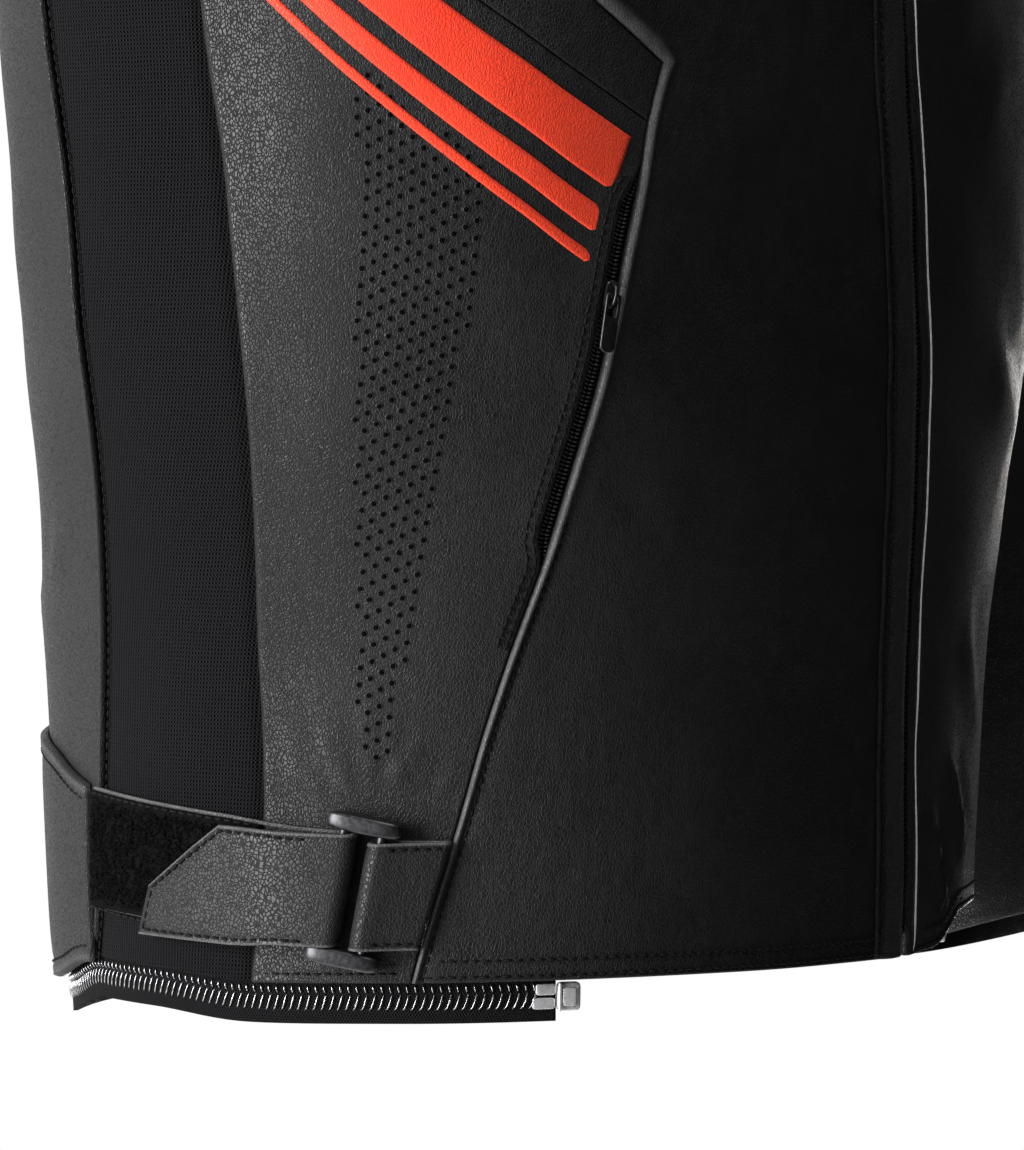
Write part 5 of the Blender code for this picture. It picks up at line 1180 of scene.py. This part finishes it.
# ---------------------------------------------------------------- stitches, teeth, holes, loops, castings
def stitch_paths(line, out, pitch=0.0033, length=0.0026):
    """Stitches along a (girth, rise) line: short arcs that rise out of the leather and dip back at both ends."""
    size = metric_steps(line)[-1]
    count = max(1, int(size / pitch))
    middle = pitch * (np.arange(count) + 0.5) / size
    shares = middle[:, None] + STITCH_SPREAD * (length / 2 / size)
    points = along(line, np.clip(shares, 0, 1))
    wander = 0.00004 * np.sin(np.arange(count) * 2.3)[:, None]
    return surface(points[..., 0], points[..., 1] + wander, out + STITCH_RISE)


def sew(name, runs, radius=0.00038):
    """All stitches of one piece of sewing as one mesh of small tubes."""
    paths = np.concatenate(runs)
    up = unit(paths.mean(1, keepdims=True)) * np.array([1, 1, 0.05])
    detail(name, *tubes(paths, radius * np.array([0.7, 1, 1.05, 1, 0.7]), 4, up), THREAD, "zip_tape")


def cord_line(name, line, out, radius, finish):
    """A thin raised line, or the turning inside a seam: one tube along a (girth, rise) line."""
    count = max(8, int(metric_steps(line)[-1] / 0.004))
    girth, rise = along(line, np.linspace(0, 1, count)).T
    thick = radius * np.concatenate([[0.6], np.ones(count - 2), [0.6]])
    detail(name, *tubes(surface(girth, rise, out)[None], thick, 8, facing(girth, rise)[None]), finish, "black_leather")


def sew_side(label, side, seams):
    """The topstitching of one side, in the order it is sewn. A line moved to its left goes towards the back on
    the wearer's right and to the front on the left, so the distances carry the side."""
    line = lambda points: mirror(points, side)
    hem, ridge, edge = seams["hem"], seams["ridge"], seams["side_edge"]
    front, back = seams["stretch_front"], seams["stretch_back"]
    runs = [stitch_paths(aside(line(ridge[ridge[:, 1] < 0.165]), 0.003 * side), 0.0001)]
    for fall, first in ((0.0066, 0.03), (0.0018, 0.01)):
        last = float(curve(HEM_RISE + fall, RIDGE)) - 0.006
        runs.append(stitch_paths(line(round_seam(hem, first, last, fall)), 0.00015))
    runs.append(stitch_paths(line(round_seam(hem, edge[0, 0] + 0.008, front[0, 0] - 0.006, 0.003)), 0.0001))
    zip_edge = edge[(edge[:, 1] > 0.118) & (edge[:, 1] < 0.262)]
    # seam, distance towards the back, height, and where it is not the usual one, pitch and length
    for seam, distance, out, *sizes in (
            (front[front[:, 1] < 0.3], 0.0044, -0.00025, 0.003, 0.0022), (back, -0.0036, -0.0002, 0.003, 0.0022),
            (back, 0.0028, 0.00035), (zip_edge, -0.0021, 0.00035), (zip_edge, -0.0046, 0.0003),
            (seams["ridge_top"], 0.003, 0.0001)):
        runs.append(stitch_paths(aside(line(seam), distance * side), out, *sizes))
    sew(f"stitches_torso_{label}", runs)


def strap_stitches(label, side):
    """Stitches round the tab, the anchor and the loop patch, set on the strap's own height."""
    def run(line, heights, pitch=0.0033, length=0.0026):
        line = np.array(line, float)
        steps = np.concatenate([[0], np.cumsum(np.hypot(*np.diff(line, axis=0).T))])
        count = int(steps[-1] / pitch)
        middle = pitch * (np.arange(count) + 0.5) + (steps[-1] - count * pitch) / 2
        at = middle[:, None] + STITCH_SPREAD * length / 2
        s, r = np.interp(at, steps, line[:, 0]), np.interp(at, steps, line[:, 1])
        return beside(side, s, r, np.interp(at, steps, heights) + STITCH_RISE)
    tab = [(0.22, 0.0359), (0.23, 0.0363), (0.238, 0.0357), (0.244, 0.0355), (0.2515, 0.0357),
           (0.2615, 0.036), (0.2704, 0.0363), (0.2774, 0.0366), (0.2737, 0.0497), (0.2489, 0.068),
           (0.244, 0.0679), (0.238, 0.0676), (0.23, 0.067), (0.22, 0.0665)]
    over = np.array([34, 34, 27, 19, 10, 4, 0.5, 0, 0, 12, 19, 27, 34, 34]) / 10000
    patch = np.array([(0.306, 0.0767), (0.296, 0.0757), (0.284, 0.0744), (0.272, 0.0732), (0.26, 0.072),
                      (0.248, 0.0708), (0.239, 0.0697)])
    top = [STRAP_TOP + 0.0012] * len(patch)
    runs = [run(tab, TAB_REST + STRAP / 2 - 0.0001 + over), run(patch, top), run(patch - (0, 0.0352), top)]
    front = bar_line(-RING_SPREAD / 2)
    high = STRAP_LOW + STRAP + STRAP / 2
    for rise in (0.0352, 0.0636):
        start, end = float(front(rise)), anchor_start(rise)
        line = [(start - 0.001, rise), (end + (start - end) * 0.7, rise), (end + (start - end) * 0.35, rise),
                (end + 0.0012, rise)]
        runs.append(run(line, [BAR_HEIGHT + 0.004, 0.0066, high + 0.0015, high + 0.0003]))
    sew(f"stitches_strap_{label}", runs, 0.00044)


def back_stitches():
    """Rows beside the belt's edges and the back's seams, and along the hem."""
    upper, lower = over_back(BELT_TOP, BELT_TOP, 0.634), over_back(HEM_RIGHT, HEM_LEFT, 0.64, -0.0015)
    runs = [stitch_paths(aside(upper, -0.0052), LAID + 0.0021), stitch_paths(aside(lower, 0.0052), LAID + 0.0021)]
    for low, high, way in (((0.636, 0.025), (0.631, 0.077), 1), ((1.364, 0.025), (1.369, 0.077), -1)):
        runs.append(stitch_paths(aside(np.linspace(low, high, 12), -0.0022 * way), LAID + 0.0015))
    runs.append(stitch_paths(over_back(NECKLINE, NECKLINE, 0.505, -0.0032), 0.0001))
    inner = up_seam(PLACKET_INNER, 0.026, 0.534)
    runs.append(stitch_paths(inner + np.array([PLACKET_WIDTH - 0.004, 0]), LAID + 0.0016))
    sew("stitches_back_and_placket", runs)


def holes(label, side):
    """Punched holes on a slanting lattice inside the side front's marked field: each a dark dished disc, painted
    shadow for the hole's inside, in a low rounded lip, set flat on the leather."""
    # the field's edges: (rise, girth) at both sides, (girth, rise) at the top
    left = [(0.0895, 0.4187), (0.167, 0.416), (0.225, 0.4124), (0.285, 0.408), (0.2917, 0.409)]
    right = [(0.0895, 0.4042), (0.1015, 0.3975), (0.1223, 0.3904), (0.1371, 0.3846), (0.1549, 0.3791),
             (0.1726, 0.3704), (0.196, 0.3644), (0.2164, 0.3557), (0.2396, 0.3474), (0.2628, 0.3415)]
    top = [(0.3415, 0.2628), (0.367, 0.2735), (0.3867, 0.283), (0.409, 0.2917)]
    i, j = np.meshgrid(np.arange(-60, 60), np.arange(-120, 120), indexing="ij")
    # rows 3.25 mm apart round the body, each 1.9 mm higher than the one behind it, its holes 5.07 mm apart
    rise = 0.2576 + 0.0019 * i + 0.00507 * j
    girth = (0.2295 - 0.00325 * i) / half(rise)
    inside = ((girth < curve(rise, left) + 0.002) & (girth > curve(rise, right) - 0.001) & (rise > 0.0885)
              & (rise < curve(girth, top) + 0.001))
    girth, rise = girth[inside] * side, rise[inside]
    # x and y lie in the leather's face, z stands on it
    spot, z = surface(girth, rise), facing(girth, rise)
    x = unit(np.cross(np.array([0, 0, 1.0]), z))
    y = np.cross(z, x)
    sides = 10
    angle = 2 * math.pi * np.arange(sides) / sides
    a, b = np.arange(sides), (np.arange(sides) + 1) % sides

    def ring(radius, out):
        return spot[:, None] + radius * (x[:, None] * np.cos(angle)[:, None] + y[:, None] * np.sin(angle)[:, None]
                                         ) + z[:, None] * out

    def lowered(radius, out):
        return ring(radius, out) - z[:, None] * (out + 0.00025)
    shadow_disc = np.concatenate([ring(0.0008, 0.00014), lowered(0.0008, 0.00014), (spot + z * 0.00008)[:, None],
                           (spot - z * 0.00025)[:, None]], 1)
    side_walls = np.stack([b, a, a + sides, b + sides], -1)
    ends = np.concatenate([np.stack([np.full_like(a, 2 * sides), a, b], -1),
                           np.stack([np.full_like(a, 2 * sides + 1), b + sides, a + sides], -1)])
    detail(f"hole_shadows_{label}", shadow_disc, repeated((side_walls, ends), len(spot), shadow_disc.shape[1]), HOLE_SHADOW, "dark_metal")
    rows = [(0.00076, 0.0001), (0.0009, 0.00024), (0.00118, 0.00002)]        # radius, height of the lip's rings
    lip = np.concatenate([*[ring(*row) for row in rows], lowered(*rows[2]), lowered(*rows[0])], 1)
    order = [0, 1, 2, 3, 4, 0]
    walls = np.concatenate([np.stack([a + p * sides, b + p * sides, b + q * sides, a + q * sides], -1)
                            for p, q in zip(order, order[1:])])
    detail(f"hole_lips_{label}", lip, repeated((walls,), len(spot), lip.shape[1]), BLACK_HIDE, "black_leather")


def loops_on_patch(label, side):
    """The patch's pile: thin nylon loops, each an arc between two feet, turned and sized at random from one
    seeded run."""
    random = np.random.default_rng(11 if side > 0 else 12)
    count = 1950
    s = random.uniform(0.2385, 0.3062, count)
    low = np.interp(s, [0.237, 0.307], [0.0366, 0.041]) + 0.0026
    high = np.interp(s, [0.237, 0.307], [0.0705, 0.078]) - 0.0028
    rise = low + (high - low) * random.uniform(0, 1, count)
    turn = random.uniform(0, math.pi, count)
    wide, tall = random.uniform(0.0005, 0.0014, count), random.uniform(0.0003, 0.001, count)
    t = np.array([-1, -0.6, 0, 0.6, 1])
    out = STRAP_TOP + 0.0013 + tall[:, None] * (1 - t**2)
    lean = random.normal(0, 0.0003, (count, 1)) * (1 - t**2)
    girth = side * (s[:, None] + (wide * np.cos(turn))[:, None] * t + lean) / half(rise)[:, None]
    r = rise[:, None] + (wide * np.sin(turn))[:, None] * t
    paths = lifted(girth, r, out)
    up = facing(girth, r) + 0.3 * unit(np.gradient(paths, axis=1))
    detail(f"loop_pile_{label}", *tubes(paths, 0.00014, 3, up), LOOPS, "loop_fabric")


def teeth(name, line, out, pitch, across, finish, radius, slant, hook=0.0, sides=5):
    """Rows of wire teeth along a line: each is one bent wire across the line from across[0] to across[1]
    (metres, to the line's left), leaning along it by slant, its end turned by hook."""
    size = metric_steps(line)[-1]
    middle = (np.arange(int(size / pitch)) + 0.5) * pitch / size
    t = np.array([0, 0.15, 0.5, 0.82, 1.0])
    here = along(line, middle)
    ahead = along(line, np.clip(middle + 0.0005 / size, 0, 1)) - here
    ahead[:, 0] *= half(here[:, 1])
    ahead = unit(ahead)
    left = np.stack([-ahead[:, 1], ahead[:, 0]], -1)
    forward = slant * (t - 0.5) + hook * np.clip(t - 0.75, 0, 1) * 4
    shift = (left[:, None] * (across[0] + (across[1] - across[0]) * t)[None, :, None]
             + ahead[:, None] * forward[None, :, None])
    girth = here[:, None, 0] + shift[..., 0] / half(here[:, 1])[:, None]
    rise = here[:, None, 1] + shift[..., 1]
    wires = surface(girth, rise, out + np.array([-0.0004, 0.0002, 0.0005, 0.0003, -0.0003]))
    detail(name, *tubes(wires, radius, sides, facing(girth, rise)), finish, "dark_metal")


def make_zips():
    """Coils and teeth on the tapes."""
    halves = (("a", 1), ("b", -1))
    rise = np.linspace(0.148, 0.262, 60)
    for label, side in SIDES:
        middle = mirror(np.stack([curve(rise, RIDGE) + slot(rise) * 0.5, rise], -1), side)
        for row, way in halves:
            teeth(f"coil_pocket_{label}_{row}", middle, ZIP_SUNK + 0.0004, 0.00125, (0.0001 * way, 0.0019 * way),
                  COIL, 0.00036, 0.0004, sides=4)
    rise = np.linspace(0.029, 0.512, 200)
    middle = np.stack([curve(rise, CLOSURE), rise], -1)
    for row, way in halves:
        teeth(f"coil_front_{row}", middle, ZIP_SUNK + 0.0005, 0.0016, (0.0001 * way, 0.0024 * way),
              COIL, 0.00045, 0.0005, sides=4)
    for row, drop, across, slant, hook in (("upper", -0.002, (0.0012, -0.0011), -0.0004, 0.0),
                                           ("lower", -0.0058, (0.0024, -0.0026), 0.0015, 0.0008)):
        teeth(f"teeth_connection_{row}", over_back(HEM_RIGHT, HEM_RIGHT, 0.312, drop), ZIP_SUNK - LAID + 0.0002,
              0.00258, across, STEEL_TEETH, 0.00021, slant, hook)


def make_sliders():
    """Each zip's slider: a rounded lower plate, a crown that narrows to both ends and a round bridge over it that
    holds the pull, set on the box of its CAD node. Both leave the pull's crossbar room to turn."""
    pocket = up_seam(RIDGE, 0.22, 0.233)
    for node, line in (("pocket_right_slider", pocket), ("front_slider", up_seam(CLOSURE, 0.514, 0.526)),
                       ("pocket_left_slider", mirror(pocket, -1))):
        low, high = (np.array(corner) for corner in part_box(node))
        ends = form(line[[0, -1], 0], line[[0, -1], 1])
        axes, centre = upright(ends[1] - ends[0], facing(*line[len(line) // 2]), (low + high) / 2)
        corners = np.array([v.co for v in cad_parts[node].data.vertices])
        reach = (corners - centre) @ axes[:, 2]
        foot, top = reach.min(), reach.max()
        # the plate and the crown: size, powers, height of the middle over the foot
        parts = [placed(pillow(size, *powers), axes, centre + axes[:, 2] * (foot + out)) for size, powers, out in (
            ((0.0068, 0.0094, 0.0015), (0.45, 0.4), 0.00075), ((0.0046, 0.0082, 0.0027), (0.6, 0.55), 0.00225))]
        way = np.linspace(0, math.pi, 13)
        arch = np.stack([0 * way, -0.0033 * np.cos(way),
                         foot + 0.0022 + (top - foot - 0.00262) * np.sin(way) ** 0.6], -1)
        parts.append(tubes((centre + arch @ axes.T)[None], 0.00042, 10, axes[:, 0]))
        cast(f"{node}_cast", parts, GUNMETAL, node)


def tab_mesh():
    """A pull tab lying flat, its free end at -y: the outline and the eye, |x/a|^6 + |y/b|^6 = 1, each point of
    one with its partner of the other on the same ray from the eye's middle, all edges rounded."""
    half_long, half_thick, edge, eye = 0.00875, 0.00055, 0.00035, np.array([0, 0.00475])

    def arc(x, y, radius, first, count):
        angle = np.radians(np.linspace(first, first + 90, count))
        return np.stack([x + radius * np.cos(angle), y + radius * np.sin(angle)], -1)

    def outward(loop):
        ahead = np.roll(loop, -1, 0) - np.roll(loop, 1, 0)
        return unit(np.stack([ahead[:, 1], -ahead[:, 0]], -1))[:, None]
    right = np.concatenate([[(0, -half_long)], arc(0.0003, -0.00655, 0.0022, -90, 9),
                            np.stack([np.full(12, 0.0025), np.linspace(-0.0055, 0.0072, 12)], -1),
                            arc(0.0017, 0.00795, 0.0008, 0, 6), [(0.0008, half_long), (0, half_long)]])
    outer = np.concatenate([right, (right * (-1, 1))[-2:0:-1]])
    ray = outer - eye
    inner = eye + ray * ((np.abs(ray / (0.0015, 0.0029)) ** 6).sum(1) ** (-1 / 6))[:, None]
    turn = np.radians([-90, -60, -30, 0, 0, 30, 60, 90])
    height = np.repeat([-1, 1], 4) * (half_thick - edge) + edge * np.sin(turn)
    inset = (edge * (1 - np.cos(turn)))[:, None]
    flat = np.concatenate([outer[:, None] - outward(outer) * inset, inner[:, None] + outward(inner) * inset[::-1]], 1)
    count, sides = flat.shape[:2]
    heights = np.broadcast_to(np.concatenate([height, height[::-1]])[:, None], (count, sides, 1))
    i, k = np.meshgrid(np.arange(count), np.arange(sides), indexing="ij")
    j, m = (i + 1) % count, (k + 1) % sides
    faces = np.stack([i * sides + k, i * sides + m, j * sides + m, j * sides + k], -1).reshape(-1, 4)
    return np.concatenate([flat, heights], -1).reshape(-1, 3), faces


def make_pulls():
    """Each pull: a plate with a round free end and an eye that leaves a crossbar under the slider's bridge, laid on
    the middle and the main axes of its CAD node's corners, the eye at the end with more of them."""
    points, faces = tab_mesh()
    for node, body in (("pocket_right_pull", "right_pocket_pull"), ("pocket_left_pull", "left_pocket_pull"),
                       ("front_pull", "front_zip_pull")):
        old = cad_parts[node]
        spots = np.unique([old.matrix_world @ v.co for v in old.data.vertices], axis=0)
        axes = np.linalg.eigh(np.cov(spots.T))[1][:, [1, 2, 0]]
        reach = spots @ axes
        centre = axes @ (reach.min(0) + reach.max(0)) / 2
        axes[:, 1] *= np.sign(((spots - centre) @ axes[:, 1]).mean())
        made = mesh_piece(f"{node}_tab", points @ axes.T + centre, [faces], GUNMETAL, sharp=50)
        finished(made, node, body)


def boxes():
    """The connection zip's end boxes: a square box with a raised frame and bar, and two short bright bars of the
    last teeth beside it."""
    rise = 0.018
    for label, side in SIDES:
        end = 0.3 * float(half(0.0185)) - 0.004
        spot = beside(side, end, rise, -WALL - 3 * LAID - 0.0002)
        axes, _ = upright(np.array([0, 0, 1.0]), facing(side * end / float(half(rise)), rise), spot)
        towards = axes[:, 0] * (1 if np.dot(axes[:, 0], beside(side, end + 0.01, rise) - spot) > 0 else -1)
        # size, powers, and how far towards the zip, up and out
        parts = [placed(pillow(size, *powers), axes, spot + towards * on + axes[:, 1] * up + axes[:, 2] * out)
                 for size, powers, on, up, out in (
                     ((0.0072, 0.0086, 0.0026), (0.28, 0.3), 0, 0, 0),
                     ((0.0042, 0.0054, 0.0012), (0.25, 0.3), 0, 0, 0.0013),
                     ((0.0009, 0.0088, 0.0016), (0.4, 0.4), 0.003, 0, 0.0012),
                     ((0.0062, 0.0034, 0.0018), (0.3, 0.3), 0.0072, 0.0022, 0),
                     ((0.007, 0.0034, 0.0018), (0.3, 0.3), 0.0078, -0.002, 0))]
        cast(f"connection_box_{label}_plated", parts, BOX_METAL, f"connection_box_{label}")


# ---------------------------------------------------------------- stage, light and camera
def stage():
    """A pale floor well below the raised jacket."""
    finish = speckled("painted_studio_floor_matt", "#e9e9e8", "#f0f0ef", 0.0, 0.9, 3.0, 0.2)
    t = np.linspace(-1.7, 1.7, 3)
    x, y = np.meshgrid(t, t, indexing="ij")
    top = np.stack([x, y, np.full_like(x, -2.1)], -1)
    shell("studio_floor", top, top - np.array([0, 0, 0.02]), finish)


def light(name, spot, target, size, watts, colour=(1, 1, 1)):
    """A rectangular soft light aimed at a point."""
    lamp = bpy.data.lights.new(name, "AREA")
    lamp.shape, lamp.size, lamp.size_y, lamp.energy, lamp.color = "RECTANGLE", size[0], size[1], watts, colour
    made = bpy.data.objects.new(name, lamp)
    bpy.context.scene.collection.objects.link(made)
    made.location = spot
    made.rotation_euler = (Vector(target) - Vector(spot)).to_track_quat("-Z", "Y").to_euler()


def studio():
    """Soft light for a black object: a pale wall of light behind and to the back right of the wearer, a dim front,
    a large soft key and a narrow strip for the far edge."""
    bpy.context.scene.view_settings.view_transform = "Standard"
    world = bpy.data.worlds.new("studio_air")
    bpy.context.scene.world = world
    world.use_nodes = True
    tree = world.node_tree
    way = add(tree, "ShaderNodeTexCoord").outputs["Generated"]
    level = add(tree, "ShaderNodeLightPath").outputs["Is Camera Ray"]
    # a wall of light: its direction, the cosines at which it begins and is full, and its light there
    for towards, low, high, dim, bright in (((-0.49, 0.87, 0.0), -0.02, 0.85, 0.009, 0.95),
                                            ((0.87, 0.49, 0.0), 0.84, 0.97, 0.0, 1.0),
                                            ((0.0, 0.0, 1.0), 0.55, 1.0, 0.0, 0.08)):
        wall = remap(tree, dot(tree, way, towards), low, high, dim, bright, "SMOOTHSTEP")
        level = maths(tree, "MAXIMUM", level, wall)
    sky = tree.nodes["Background"]
    sky.inputs["Color"].default_value = (1.0, 1.0, 1.0, 1)
    tree.links.new(level, sky.inputs["Strength"])
    light("soft_key", (-2.0, 0.96, -0.28), (-0.12, 0.0, -0.42), (1.0, 1.8), 112)
    light("far_strip", (1.75, 0.55, -0.1), (0.0, -0.1, -0.4), (0.5, 1.7), 62, (1.0, 0.96, 0.92))
    light("floor_wash", (0.0, 0.0, -1.45), (0.0, 0.0, -2.1), (3.4, 3.4), 34)
    light("high_fill", (-1.08, -0.57, 1.88), (-0.05, 0.0, -0.42), (1.3, 1.3), 50)


def camera():
    """The photograph's place: 2 m away, 60.5 degrees round to the wearer's right, a long lens."""
    turn = math.radians(-60.5)
    eye = Vector((2 * math.sin(turn), -2 * math.cos(turn), -0.41))
    photo_height, focal, sensor = 1150, 6200, 36        # pixels, pixels, millimetres
    data = bpy.data.cameras.new("photo_camera")
    data.lens, data.sensor_width = focal / photo_height * sensor, sensor
    data.shift_x = -3 / photo_height
    data.clip_start, data.clip_end = 0.1, 100
    made = bpy.data.objects.new("photo_camera", data)
    bpy.context.scene.collection.objects.link(made)
    made.location = eye
    made.rotation_euler = (Vector((0, 0, -0.4764)) - eye).to_track_quat("-Z", "Y").to_euler()
    bpy.context.scene.camera = made


def main():
    """The stage first, then the large pieces of cloth, then what is sewn, set or punched on them."""
    camera()
    studio()
    stage()
    seams = {"right": make_side("right", 1, HEM_RIGHT, FINE), "left": make_side("left", -1, HEM_LEFT, PLAIN)}
    make_back(seams["right"]["stretch_back"], seams["left"]["stretch_back"])
    make_placket()
    for label, side in SIDES:
        make_bands(label, side)
    make_tapes()
    make_collar()
    make_sleeves()
    for label, side in SIDES:
        make_waist_adjuster(label, side)
        sew_side(label, side, seams[label])
        strap_stitches(label, side)
        loops_on_patch(label, side)
        holes(label, side)
        cord_line(f"leather_armhole_turning_{label}", mirror(armhole(0, ARMHOLE_STEPS), side), -0.0024, 0.0016,
                  BLACK_HIDE)
    back_stitches()
    make_zips()
    make_sliders()
    make_pulls()
    boxes()
    # painted highlight: the closure line is coloured near white for the light its edge catches
    cord_line("leather_closure_line", up_seam(EDGE_LINE, EDGE_LINE[0][0] + 0.001, EDGE_LINE[-1][0]), 0.0004, 0.00048,
              BEAD_HIGHLIGHT)


main()
print("cuts", json.dumps(CUTS))
